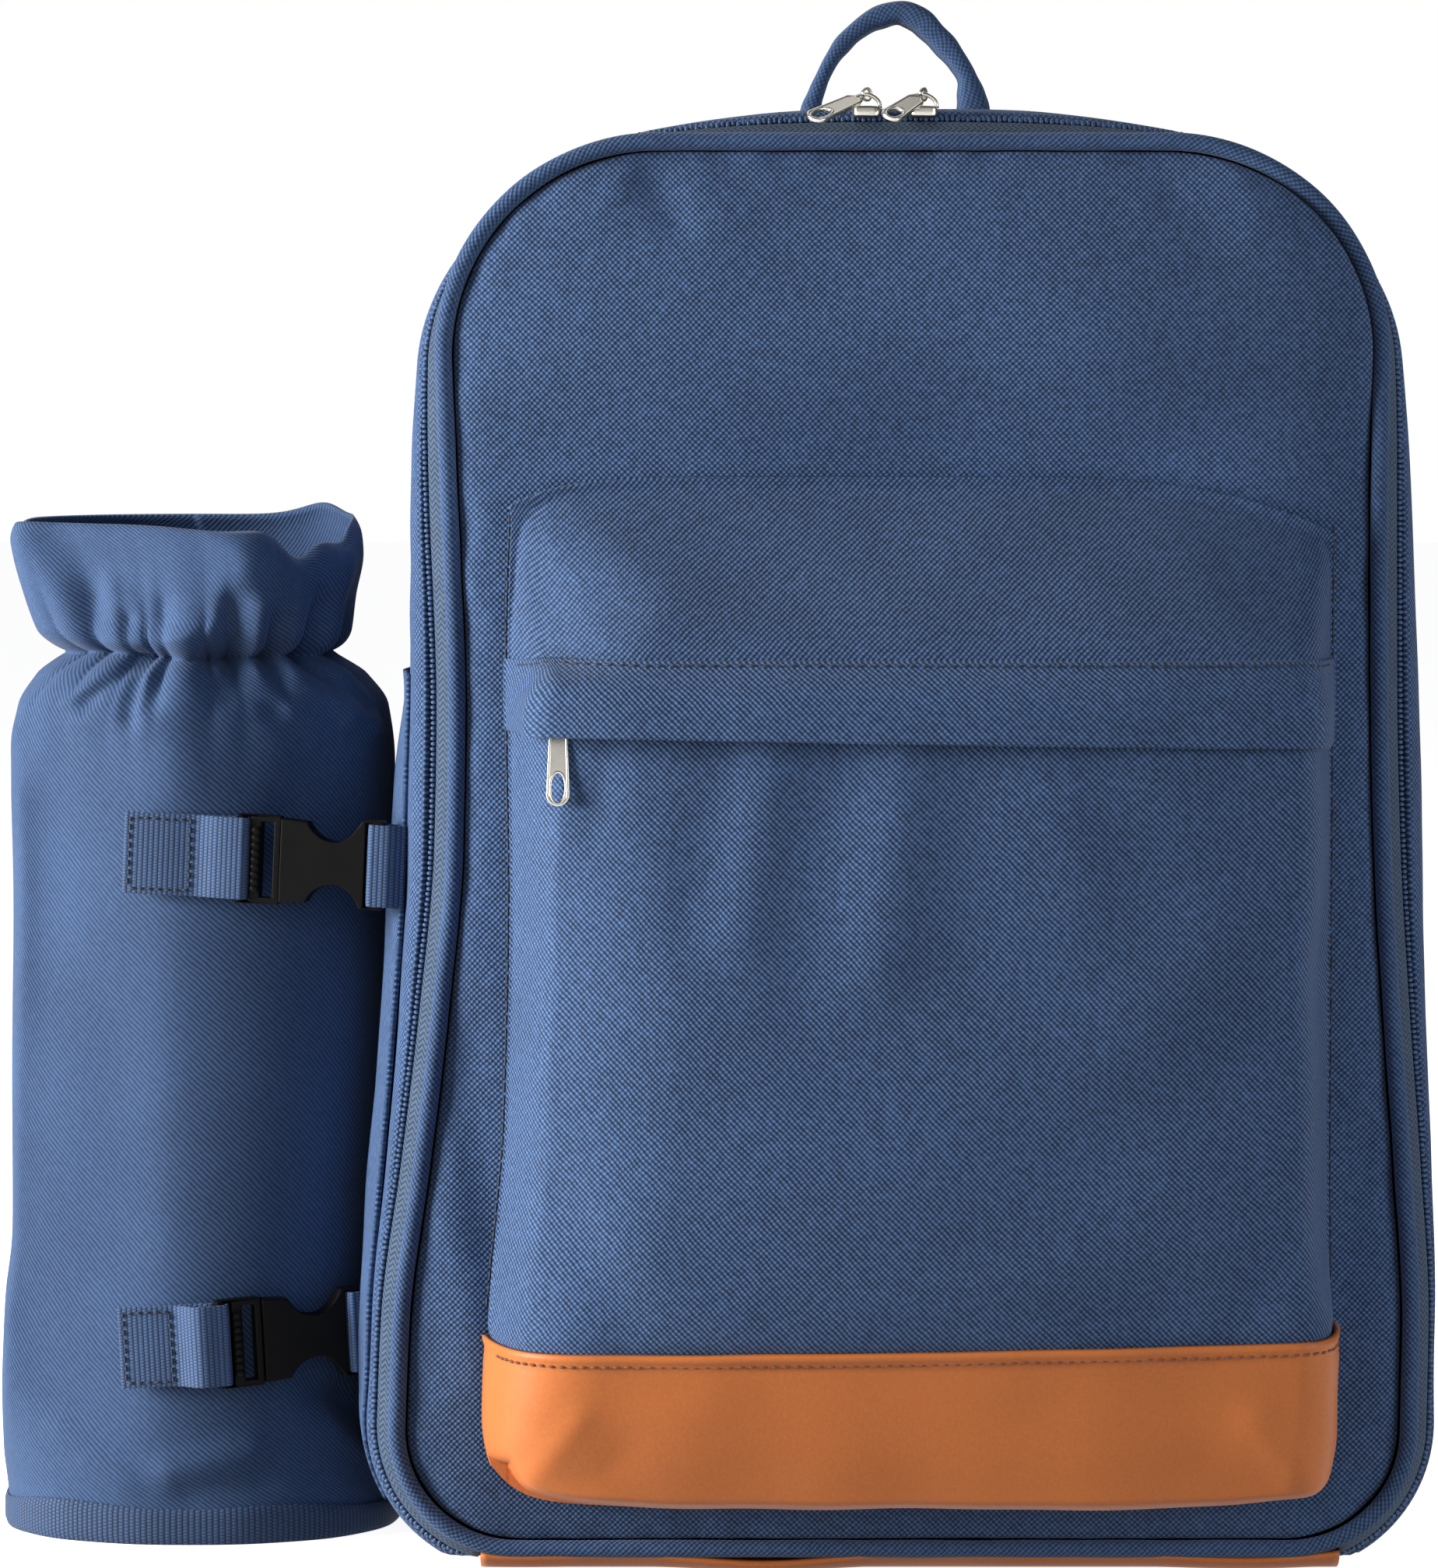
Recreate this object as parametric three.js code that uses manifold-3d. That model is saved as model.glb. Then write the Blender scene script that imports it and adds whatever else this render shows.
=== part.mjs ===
// Picnic backpack with a clip-on bottle carrier, in millimetres.
// +Z is up and the front faces -Y. The origin is the middle of the flat leather base.
import * as THREE from "three";
import { mergeVertices } from "three/addons/utils/BufferGeometryUtils.js";
import Module from "manifold-3d";

const wasm = await Module();
wasm.setup();

// Driving dimensions
const GAP = 0.3; // between pieces that touch
const CLOTH = 2; // padded body walls
const THIN_CLOTH = 1.5; // single cloth walls
const LEATHER = 1.6;
const FRONT_Y = -85; // seam of the front panel
const BACK_Y = 85; // seam of the back panel
const SEAM_BOTTOM = 6.7; // height of the front seam above the floor
const SEAM_TOP = 403;
const TOP_RADIUS = 60;
const BOTTOM_RADIUS = 34;
const PIPING_RADIUS = 2.5;
const BASE_HALF = 121.5; // half width of the leather base, where the zip ends
const PANEL_BULGE = 8; // how far the front panel swells
const SIDE_POCKET_TOP = 256;
const SIDE_POCKET_SWELL = 4.6;
const WEBBING_WIDTH = 23.5;
const WEBBING = 1.3;

// Front seam by height, left and right of the middle: a bell that is widest near the base
const SIDE = [
  { z: SEAM_BOTTOM + BOTTOM_RADIUS, left: 145.2, right: 141 },
  { z: 72, left: 143.8, right: 141.4 },
  { z: 115, left: 138, right: 138.8 },
  { z: 159, left: 132.6, right: 135.4 },
  { z: 204, left: 128.4, right: 132.6 },
  { z: 245, left: 127.6, right: 131.4 },
  { z: 302, left: 129.6, right: 131 },
  { z: SEAM_TOP - TOP_RADIUS, left: 131.2, right: 131.5 },
];

// How much of the side wall's flare shows by height: most beside the pocket, least above the base
const FLARE = [
  { z: 6, share: 0.8 },
  { z: 30, share: 0.55 },
  { z: 60, share: 0.32 },
  { z: 130, share: 0.8 },
  { z: 225, share: 1.4 },
  { z: 290, share: 1.05 },
  { z: 343, share: 0.7 },
  { z: 385, share: 0.8 },
  { z: 403, share: 0.65 },
];
const ZIP_OUT = 8; // the zip stands this far outside the seam along the straights
const CORNER_PINCH = { x: 106, z: 392, radius: 58, share: 0.42 }; // the zip lies closer at the top corners

// Side wall from the zip to the back: how far it stands outside the front seam
const GUSSET = [
  { y: -68.6, out: 9.9 },
  { y: -62, out: 10.8 },
  { y: -30, out: 13 },
  { y: 5, out: 14 },
  { y: 45, out: 13.2 },
  { y: 74, out: 10 },
  { y: BACK_Y, out: 8 },
];

// Front pocket by height: side seams, slope of the side walls, depth of the front
const POCKET = [
  { z: 20, left: -115, right: 113, leftSlope: 15, rightSlope: 15, deep: 34 },
  { z: 45, left: -120, right: 117.5, leftSlope: 16, rightSlope: 16, deep: 40 },
  { z: 72, left: -119, right: 117.5, leftSlope: 14, rightSlope: 14, deep: 44 },
  { z: 130, left: -114, right: 117, leftSlope: 9, rightSlope: 13, deep: 47 },
  { z: 200, left: -112.5, right: 117, leftSlope: 7, rightSlope: 13, deep: 46 },
  { z: 240, left: -113, right: 117, leftSlope: 6, rightSlope: 14, deep: 43 },
  { z: 262, left: -113, right: 117, leftSlope: 25, rightSlope: 20, deep: 41 },
  { z: 309, left: -111.5, right: 117, leftSlope: 27, rightSlope: 22, deep: 41 },
];
const POCKET_COLUMNS = [0, 0.02, 0.045, 0.075, 0.12, 0.2, 0.35, 0.5, 0.65, 0.8, 0.88, 0.925, 0.955, 0.98, 1];
const POCKET_SKEW = 4; // the soft front leans to the right
const HOOD_SLOPE = 0.82; // depth gained per millimetre down from the top seam
const UNDERSIDE_SLOPE = 7;
const FLANGE = 1.8; // least depth of a pocket wall at its seam
const HEM_Z = 70.5; // top edge of the leather trim
const ZIP_LOW = 239;
const ZIP_HIGH = 247;
const FLAP_TOP = 259;
const FLAP_BOTTOM = 236;

// Bottle carrier by height: plan extents and depth of the gathers
const SLEEVE = [
  { z: 0.3, left: -265.2, right: -149.6, front: -43, back: 43, gather: 0 },
  { z: 10, left: -265.6, right: -151, front: -43.5, back: 43, gather: 0 },
  { z: 22, left: -266.6, right: -157, front: -44.5, back: 44, gather: 0.4 },
  { z: 42, left: -266.8, right: -160, front: -45, back: 45, gather: 0.5 },
  { z: 90, left: -264, right: -158.6, front: -45, back: 45, gather: 0 },
  { z: 140, left: -262.8, right: -154.6, front: -45, back: 45, gather: 0 },
  { z: 205, left: -263.2, right: -151, front: -45, back: 45, gather: 0 },
  { z: 228, left: -262.8, right: -150.6, front: -44, back: 44, gather: 0.8 },
  { z: 243, left: -260, right: -152.4, front: -42, back: 42, gather: 2 },
  { z: 252, left: -253.6, right: -159, front: -38, back: 38, gather: 3 },
  { z: 258, left: -247.8, right: -165.6, front: -34.5, back: 34.5, gather: 3.2 },
  { z: 265, left: -254.4, right: -163.4, front: -38, back: 37, gather: 2.8 },
  { z: 275, left: -259.8, right: -161.6, front: -40.5, back: 39, gather: 2 },
  { z: 286, left: -264.6, right: -159.4, front: -42, back: 39, gather: 1.6 },
  { z: 296, left: -263.8, right: -160.6, front: -42.5, back: 38, gather: 1.8 },
];
const SLEEVE_SIDES = 44;
const SLEEVE_SQUARENESS = 2.15; // exponent of the plan's rounded oval
const BINDING_TOP = 10;

// Colours and finishes
const finish = (color, roughness, metalness = 0) =>
  new THREE.MeshStandardMaterial({ color, roughness, metalness });
const NAVY_CLOTH = finish(0x3b5684, 0.85);
const NAVY_TAPE = finish(0x33496c, 0.8);
const TAN_LEATHER = finish(0xb96a35, 0.5);
const NAVY_WEBBING = finish(0x40597f, 0.8);
const BLACK_PLASTIC = finish(0x1c1c1e, 0.45);
const NICKEL = finish(0xc9c4b6, 0.3, 1);

const bag = new THREE.Group();

function add(name, geometry, material, parent = bag) {
  const mesh = new THREE.Mesh(geometry, material);
  mesh.name = name;
  parent.add(mesh);
  return mesh;
}

// Value of a column of a table at a key, on straight lines between its rows
function along(table, keyName, key, column) {
  const above = table.findIndex((row) => row[keyName] >= key);
  if (above <= 0) return (above === 0 ? table[0] : table[table.length - 1])[column];
  const [low, high] = [table[above - 1], table[above]];
  const share = (key - low[keyName]) / (high[keyName] - low[keyName]);
  return THREE.MathUtils.lerp(low[column], high[column], share);
}

// Closed solid through sections with the same even number of points; a loop joins the last to the first
function loft(sections, loop = false) {
  const count = sections[0].length;
  const points = sections.flat();
  const faces = [];
  const quad = (a, b, c, d) => faces.push(a, b, c, a, c, d);
  const spans = loop ? sections.length : sections.length - 1;
  for (let i = 0; i < spans; i++) {
    const here = i * count;
    const next = ((i + 1) % sections.length) * count;
    for (let j = 0; j < count; j++) {
      const k = (j + 1) % count;
      quad(here + j, here + k, next + k, next + j);
    }
  }
  if (!loop) {
    const last = (sections.length - 1) * count;
    for (let j = 0; j < count / 2 - 1; j++) {
      quad(count - 1 - j, count - 2 - j, j + 1, j);
      quad(last + j, last + j + 1, last + count - 2 - j, last + count - 1 - j);
    }
  }
  return facingOut(points, faces);
}

// Geometry from points and triangles, turned so that its faces point out
function facingOut(points, faces) {
  let volume = 0;
  for (let i = 0; i < faces.length; i += 3) {
    const [a, b, c] = [points[faces[i]], points[faces[i + 1]], points[faces[i + 2]]];
    volume += a.dot(new THREE.Vector3().crossVectors(b, c));
  }
  const turned = volume < 0 ? faces.map((_, i) => faces[i - (i % 3) + 2 - (i % 3)]) : faces;
  const geometry = new THREE.BufferGeometry().setFromPoints(points);
  return geometry.setIndex(turned);
}

// Wall between an outer and an inner row of points, as one closed section
const wallSection = (outer, inner) => [...outer, ...inner.slice().reverse()];

// Straight ribbon of even thickness along a plan path, standing from height low to low + width
function ribbon(path, thickness, low, width) {
  const sides = [1, -1].map((side) =>
    path.map((point, i) => {
      const before = path[Math.max(i - 1, 0)];
      const after = path[Math.min(i + 1, path.length - 1)];
      const into = point.clone().sub(before).normalize();
      const from = after.clone().sub(point).normalize();
      const mean = into.clone().add(from).normalize();
      const half = thickness / 2 / Math.max(0.5, mean.dot(i ? into : from));
      return new THREE.Vector2(point.x - mean.y * half * side, point.y + mean.x * half * side);
    }),
  );
  const shape = new THREE.Shape([...sides[0], ...sides[1].reverse()]);
  return new THREE.ExtrudeGeometry(shape, { depth: width, bevelEnabled: false }).translate(0, 0, low);
}

// manifold-3d solid of a geometry
function solidOf(geometry) {
  const bare = geometry.clone();
  bare.deleteAttribute("normal");
  bare.deleteAttribute("uv");
  const merged = mergeVertices(bare, 1e-4);
  const mesh = new wasm.Mesh({
    numProp: 3,
    vertProperties: new Float32Array(merged.attributes.position.array),
    triVerts: new Uint32Array(merged.index.array),
  });
  return new wasm.Manifold(mesh);
}

// One geometry from several overlapping ones
function joined(...geometries) {
  const mesh = geometries.map(solidOf).reduce((a, b) => a.add(b)).getMesh();
  const geometry = new THREE.BufferGeometry();
  geometry.setAttribute("position", new THREE.BufferAttribute(mesh.vertProperties, 3));
  return geometry.setIndex(new THREE.BufferAttribute(mesh.triVerts, 1));
}

// One half of the front seam line, from the bottom middle to the top middle
function seamHalf(side) {
  const arc = (x, z, radius, from, steps, step) =>
    Array.from({ length: steps + 1 }, (_, i) => {
      const angle = THREE.MathUtils.degToRad(from + i * step);
      return new THREE.Vector2(x + radius * Math.cos(angle), z + radius * Math.sin(angle));
    });
  const bottomX = SIDE[0][side] - BOTTOM_RADIUS;
  const topX = SIDE[SIDE.length - 1][side] - TOP_RADIUS;
  return [
    new THREE.Vector2(0, SEAM_BOTTOM),
    new THREE.Vector2(bottomX * 0.35, SEAM_BOTTOM),
    new THREE.Vector2(bottomX * 0.7, SEAM_BOTTOM),
    ...arc(bottomX, SEAM_BOTTOM + BOTTOM_RADIUS, BOTTOM_RADIUS, -90, 8, 11.25),
    ...SIDE.slice(1, -1).map((row) => new THREE.Vector2(row[side], row.z)),
    ...arc(topX, SEAM_TOP - TOP_RADIUS, TOP_RADIUS, 0, 6, 15),
    new THREE.Vector2(topX / 2, SEAM_TOP),
    new THREE.Vector2(0, SEAM_TOP),
  ];
}

// The whole seam line with outward normals, from the bottom middle round by the right
function seamLine() {
  const mirrored = seamHalf("left").slice(1, -1).reverse().map((p) => new THREE.Vector2(-p.x, p.y));
  const line = [...seamHalf("right"), ...mirrored];
  return line.map((p, i) => {
    const before = line[(i + line.length - 1) % line.length];
    const after = line[(i + 1) % line.length];
    const run = after.clone().sub(before).normalize();
    return { x: p.x, z: p.y, nx: run.y, nz: -run.x };
  });
}

const SEAM = seamLine();

// Pairs of seam points at one height, from the bottom up
const SEAM_PAIRS = SEAM.slice(1, SEAM.length / 2).map((right, i) => {
  const left = SEAM[SEAM.length - 1 - i];
  return { right, left };
});

// Distance from the seam to a point of the zip or the side wall
function reachAt(seam, out) {
  const away = Math.hypot(Math.abs(seam.x) - CORNER_PINCH.x, seam.z - CORNER_PINCH.z);
  const pinch = CORNER_PINCH.share * Math.exp(-((away / CORNER_PINCH.radius) ** 2));
  const zip = Math.min(out, ZIP_OUT) * (1 - pinch);
  return zip + Math.max(0, out - ZIP_OUT) * along(FLARE, "z", seam.z, "share");
}

// Point that stands outside the front seam, no lower than the floor height given
const besideSeam = (seam, reach, y, floor) =>
  new THREE.Vector3(seam.x + seam.nx * reach, y, Math.max(floor, seam.z + seam.nz * reach));

// Swelling of the front panel and the height of its outer face
function panelFace(x, z) {
  const across = 1 - (x / 150) ** 2;
  const up = Math.sin((Math.PI * (z - SEAM_BOTTOM)) / (SEAM_TOP - SEAM_BOTTOM));
  return FRONT_Y - 1 - PANEL_BULGE * Math.max(0, across) * Math.max(0, up) ** 0.7;
}

// Body: panels, piping, zip and side wall
function bodyPanel(pairs, columns, faceAt, thickness, inward) {
  const sections = pairs.map(({ left, right }) => {
    const outer = even(columns).map((share) => {
      const edge = new THREE.Vector3().lerpVectors(left, right, share);
      return new THREE.Vector3(edge.x, faceAt(edge.x, edge.z), edge.z);
    });
    const inner = outer.map((p) => new THREE.Vector3(p.x, p.y + thickness * inward, p.z));
    return wallSection(outer, inner);
  });
  return loft(sections);
}

const pairsAt = (pairs, reach, floor) =>
  pairs.map(({ left, right }) => ({
    left: besideSeam(left, reach, 0, floor),
    right: besideSeam(right, reach, 0, floor),
  }));

function frontPanel() {
  const pairs = SEAM_PAIRS.filter(({ right }) => Math.abs(right.nz) < 0.9999);
  return bodyPanel(pairsAt(pairs, -PIPING_RADIUS - GAP, 0), 8, panelFace, CLOTH, 1);
}

function backPanel() {
  const rim = GUSSET[GUSSET.length - 1].out;
  const pairs = pairsAt(SEAM_PAIRS.filter(({ right }) => right.nz > -0.5 && right.nz < 0.9999), rim, 2);
  pairs.unshift({ left: new THREE.Vector3(-BASE_HALF, 0, 2), right: new THREE.Vector3(BASE_HALF, 0, 2) });
  const swell = (x, z) => {
    const up = Math.sin((Math.PI * (z - 2)) / (SEAM_TOP + rim - 2));
    return BACK_Y + GAP + 3 + 3 * Math.max(0, 1 - (x / 152) ** 2) * Math.max(0, up);
  };
  return bodyPanel(pairs, 6, swell, 3, -1);
}

// Strip that follows the seam line; its section is a list of (out, y) corners
const alongSeam = (seam, corners, floor, loop) =>
  loft(seam.map((p) => corners.map(([out, y]) => besideSeam(p, reachAt(p, out), y, floor))), loop);

function piping() {
  const ahead = new THREE.Vector3(0, -1, 0);
  const sections = SEAM.map((p) => {
    const out = new THREE.Vector3(p.nx, 0, p.nz);
    const centre = new THREE.Vector3(p.x, FRONT_Y, p.z);
    return ovalSection(centre, out, ahead, 2 * PIPING_RADIUS, 2 * PIPING_RADIUS, 8);
  });
  return loft(sections, true);
}

// The zip runs round the sides and top between the ends of the leather base
const zipStart = SEAM.findIndex((p) => p.x > BASE_HALF - 2);
const zipEnd = SEAM.findLastIndex((p) => p.x < 2 - BASE_HALF);
const ZIP_LINE = SEAM.slice(zipStart, zipEnd + 1);

const TAPE_CORNERS = [[2, -82.6], [2.9, -83], [6.6, -74.6], [5.7, -74.1]];
const CHAIN_CORNERS = [[5.6, -73.6], [7, -74.2], [8.8, -71.4], [9.2, -69.4], [8.1, -69], [6.6, -71]];
const zipTape = () => alongSeam(ZIP_LINE, TAPE_CORNERS, 2.6, false);
const zipChain = () => alongSeam(ZIP_LINE, CHAIN_CORNERS, 2.4, false);

function sideWall() {
  const sections = SEAM.map((p) => {
    const outer = GUSSET.map((row) => besideSeam(p, reachAt(p, row.out), row.y, 2));
    const inner = GUSSET.map((row) => besideSeam(p, reachAt(p, row.out) - CLOTH, row.y, 2 + CLOTH));
    return wallSection(outer, inner);
  });
  return loft(sections, true);
}

// Leather base: flat on the floor, with a lip that rises to the piping in front and to the back seam
function leatherBase() {
  const profile = [[-83.4, 3.6], [-80.5, 1.1], [-76, 0], [0, 0], [76, 0], [83, 0]];
  const sections = [-BASE_HALF, 0, BASE_HALF].map((x) => {
    const outer = profile.map(([y, z]) => new THREE.Vector3(x, y, z));
    const inner = profile.map(([y, z]) => {
      const back = z > 0 ? LEATHER : 0;
      const up = z > 2 ? 0.6 : LEATHER;
      return new THREE.Vector3(x, y + back, z + up);
    });
    return wallSection(outer, inner);
  });
  return loft(sections);
}

// Slip pocket on the left side wall, behind the bottle carrier
function sidePocket() {
  const rows = SEAM.filter((p) => p.x < 0 && p.z > 24 && p.z < 250).sort((a, b) => a.z - b.z);
  const rim = rows[rows.length - 1];
  rows.push({ ...rim, x: -along(SIDE, "z", SIDE_POCKET_TOP, "left"), z: SIDE_POCKET_TOP });
  const corners = [-24, 5, 45, 58];
  const sections = rows.map((p) => {
    const swell = SIDE_POCKET_SWELL * Math.sin((Math.PI * (p.z - 20)) / 270);
    const skin = (extra) =>
      corners.map((y) => {
        const ease = Math.max(0, Math.cos((Math.PI * (y - 10)) / 96));
        const reach = reachAt(p, along(GUSSET, "y", y, "out")) + 2 * GAP + extra + swell * ease;
        return besideSeam(p, reach, y, 3);
      });
    return wallSection(skin(THIN_CLOTH), skin(0));
  });
  return loft(sections);
}

// Front pocket: a swollen box over the front panel, worked out as a depth over plan position
function smoothMin(values, radius) {
  return values.reduce((a, b) => {
    const h = Math.max(radius - Math.abs(a - b), 0) / radius;
    return Math.min(a, b) - (h * h * radius) / 4;
  });
}

const pocketTop = (x) => 308.7 - (x < 0 ? 5 : 10) * Math.min(1.2, Math.abs(x) / 114) ** 4;
const pocketBottom = (x) => 20.5 + 4.5 * Math.min(1.2, Math.abs(x) / 114) ** 6;
const hemHeight = (x) => HEM_Z + 2.2 * (x / 118);

function pocketDepth(x, z) {
  const at = (column) => along(POCKET, "z", z, column);
  const deep = at("deep");
  const crown = deep - 3 * (x / 110) ** 2;
  const planes = [
    crown,
    (pocketTop(x) - z) * HOOD_SLOPE,
    (z - pocketBottom(x)) * UNDERSIDE_SLOPE,
    ((x - at("left")) * deep) / at("leftSlope"),
    ((at("right") - x) * deep) / at("rightSlope"),
  ];
  return smoothMin(planes, 7);
}

// Point on the pocket's face, moved out along its normal
function pocketPoint(x, z, out, least) {
  const step = 0.5;
  const depth = pocketDepth(x, z);
  const slopeX = (pocketDepth(x + step, z) - pocketDepth(x - step, z)) / (2 * step);
  const slopeZ = (pocketDepth(x, z + step) - pocketDepth(x, z - step)) / (2 * step);
  const normal = new THREE.Vector3(-slopeX, -1, -slopeZ).normalize();
  const flangeDepth = Math.max(depth, FLANGE);
  const point = new THREE.Vector3(x, panelFace(x, z) - flangeDepth, z).addScaledVector(normal, out);
  point.x += (POCKET_SKEW * Math.max(0, depth)) / 45;
  point.y = Math.min(point.y, panelFace(point.x, point.z) - least);
  return point;
}

// Cloth wall on the pocket's face through rows of heights, standing from one offset to another
function pocketWall(rows, from, to, seat = GAP) {
  const sections = rows.map((heightAt) => {
    const skin = (offset, least) =>
      POCKET_COLUMNS.map((column) => {
        const z = heightAt(THREE.MathUtils.lerp(-113, 117, column));
        const x = THREE.MathUtils.lerp(along(POCKET, "z", z, "left"), along(POCKET, "z", z, "right"), column);
        return pocketPoint(x, z, offset(x, z), least);
      });
    return wallSection(skin(to, seat + 1.2), skin(from, seat));
  });
  return loft(sections);
}

const level = (height) => () => height;
const even = (count) => Array.from({ length: count + 1 }, (_, i) => i / count);
const between = (low, high, shares) =>
  shares.map((share) => (x) => THREE.MathUtils.lerp(low(x), high(x), share));

const SLIDER_X = -102.4; // place of the pocket's zip slider, before the lean
const FLAP_STANDS = 2.2; // clear space behind the flap's lower edge
const FLAP_BUMP = 4.6; // further swelling of the flap over the slider

function flapStand(x, z) {
  const drop = THREE.MathUtils.smoothstep(FLAP_TOP - z, 0, 9);
  const bump = FLAP_BUMP * Math.exp(-(((x - SLIDER_X) / 13) ** 2));
  return 3 * GAP + (FLAP_STANDS + bump) * drop;
}

function addPocket() {
  const trimRows = between(pocketBottom, hemHeight, [0, 0.012, 0.035, 0.08, 0.18, 0.4, 0.7, 1]);
  add("pocket_leather", pocketWall(trimRows, level(-1), level(LEATHER - 1)), TAN_LEATHER);
  const frontRows = between((x) => hemHeight(x) + GAP, level(ZIP_LOW), even(6));
  add("pocket_front", pocketWall(frontRows, level(-THIN_CLOTH), level(0)), NAVY_CLOTH);
  const zipRows = [ZIP_LOW + GAP, ZIP_HIGH].map(level);
  add("pocket_zip", pocketWall(zipRows, level(-2.2), level(-1)), NAVY_TAPE);
  const underFlap = [ZIP_HIGH + GAP, 251, 255].map(level);
  const hoodRows = [...underFlap, ...between(level(FLAP_TOP), pocketTop, even(5))];
  add("pocket_hood", pocketWall(hoodRows, level(-THIN_CLOTH), level(0)), NAVY_CLOTH);
  const flapRows = [level(FLAP_BOTTOM), level(242), ...underFlap, level(FLAP_TOP)];
  add("pocket_flap", pocketWall(flapRows, flapStand, (x, z) => flapStand(x, z) + 1.2, 2), NAVY_CLOTH);
}

// Zip hardware, made lying on the tape: X along the zip, +Z away from the tape
const PIN = 0.9; // square section of the bail

function slider(length, width, thick, bailHeight) {
  const plan = new THREE.Shape();
  plan.moveTo(-length / 2, -width * 0.32);
  plan.lineTo(-length * 0.1, -width / 2);
  plan.lineTo(length / 2, -width / 2);
  plan.lineTo(length / 2, width / 2);
  plan.lineTo(-length * 0.1, width / 2);
  plan.lineTo(-length / 2, width * 0.32);
  const plate = new THREE.ExtrudeGeometry(plan, { depth: thick, bevelEnabled: false });
  const reach = 4.1;
  const arch = new THREE.Shape();
  arch.moveTo(-reach, 0);
  arch.lineTo(-reach, bailHeight - 1);
  arch.lineTo(-reach + 1, bailHeight);
  arch.lineTo(reach - 1, bailHeight);
  arch.lineTo(reach, bailHeight - 1);
  arch.lineTo(reach, 0);
  arch.lineTo(reach - PIN, 0);
  arch.lineTo(reach - PIN, bailHeight - PIN);
  arch.lineTo(-reach + PIN, bailHeight - PIN);
  arch.lineTo(-reach + PIN, 0);
  const bail = new THREE.ExtrudeGeometry(arch, { depth: PIN, bevelEnabled: false })
    .rotateX(Math.PI / 2)
    .translate(0, PIN / 2, thick - 0.1);
  return joined(plate, bail);
}

// Pull tab: an eye round the bail at its origin, a neck, and a plate with a slot, reaching along +X
function pullTab({ eye, hole, eyeWidth, neck, length, width }) {
  const ring = new THREE.Shape().absarc(0, 0, eye, 0, 2 * Math.PI);
  ring.holes.push(new THREE.Path().absarc(0, 0, hole, 0, 2 * Math.PI, true));
  const loop = new THREE.ExtrudeGeometry(ring, { depth: eyeWidth, bevelEnabled: false, curveSegments: 6 })
    .rotateX(Math.PI / 2)
    .translate(0, eyeWidth / 2, 0);
  const thick = 1.3;
  const stemLength = neck - hole - 0.3;
  const stem = new THREE.BoxGeometry(stemLength, eyeWidth, thick)
    .translate(neck + 0.1 - stemLength / 2, 0, 0);
  const tip = length - width / 2;
  const plate = new THREE.Shape();
  plate.moveTo(neck, -width * 0.4);
  plate.lineTo(tip, -width / 2);
  plate.absarc(tip, 0, width / 2, -Math.PI / 2, Math.PI / 2);
  plate.lineTo(neck, width * 0.4);
  const slot = new THREE.Path();
  slot.absellipse(tip - width * 0.28, 0, width * 0.62, width * 0.28, 0, 2 * Math.PI, true);
  plate.holes.push(slot);
  const leaf = new THREE.ExtrudeGeometry(plate, { depth: thick, bevelEnabled: false, curveSegments: 6 })
    .translate(0, 0, -thick / 2);
  return joined(loop, stem, leaf);
}

// Two sliders meet on top of the main zip; their tabs droop to the front left
const CHAIN_TOP = 412.2; // highest line of the zip chain along the top
const MAIN_SLIDER = { length: 8.8, width: 6.2, thick: 1.6, bail: 3.3 };
const MAIN_TAB = { eye: 2.1, hole: 1.35, eyeWidth: 1.2, neck: 5.2, length: 25, width: 5.6 };
const MAIN_PULLS = [
  { side: "left", x: -12.5, yaw: 47, droop: 19 },
  { side: "right", x: 3.5, yaw: 63, droop: 19 },
];

function addMainZipHardware() {
  for (const { side, x, yaw, droop } of MAIN_PULLS) {
    const { length, width, thick, bail } = MAIN_SLIDER;
    const seat = new THREE.Group();
    seat.position.set(x, -72.3, CHAIN_TOP + GAP);
    bag.add(seat);
    add(`main_slider_${side}`, slider(length, width, thick, bail), NICKEL, seat);
    const hinge = new THREE.Group();
    hinge.position.z = thick + bail - PIN / 2 - 0.1;
    hinge.rotation.order = "ZYX";
    hinge.rotation.z = THREE.MathUtils.degToRad(180 + yaw);
    hinge.rotation.y = THREE.MathUtils.degToRad(droop);
    seat.add(hinge);
    add(`main_pull_${side}`, pullTab(MAIN_TAB), NICKEL, hinge);
  }
}

// The pocket's slider sits under the flap and its tab hangs below the flap's edge
const POCKET_SLIDER = { length: 9, width: 6, thick: 1.2, bail: 2.4 };
const POCKET_TAB = { eye: 1.8, hole: 0.95, eyeWidth: 3, neck: 3.4, length: 23.5, width: 6.4 };
const POCKET_TAB_LEAN = 7; // it follows the swell of the pocket
const SLIDER_Z = 243.4;

function addPocketZipHardware() {
  const [low, high] = [-1, 4].map((step) => pocketPoint(SLIDER_X + step, SLIDER_Z, -1, GAP));
  const seat = new THREE.Group();
  seat.position.set((low.x + high.x) / 2, (low.y + high.y) / 2 - 3 * GAP, SLIDER_Z);
  seat.rotation.order = "ZYX";
  seat.rotation.z = Math.atan2(high.y - low.y, high.x - low.x);
  seat.rotation.x = Math.PI / 2;
  bag.add(seat);
  const { length, width, thick, bail } = POCKET_SLIDER;
  add("pocket_slider", slider(length, width, thick, bail), NICKEL, seat);
  const hinge = new THREE.Group();
  hinge.position.z = thick + bail - PIN / 2 - 0.1;
  hinge.rotation.order = "ZYX";
  hinge.rotation.z = -Math.PI / 2;
  hinge.rotation.y = THREE.MathUtils.degToRad(-POCKET_TAB_LEAN);
  seat.add(hinge);
  add("pocket_pull", pullTab(POCKET_TAB), NICKEL, hinge);
}

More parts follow.
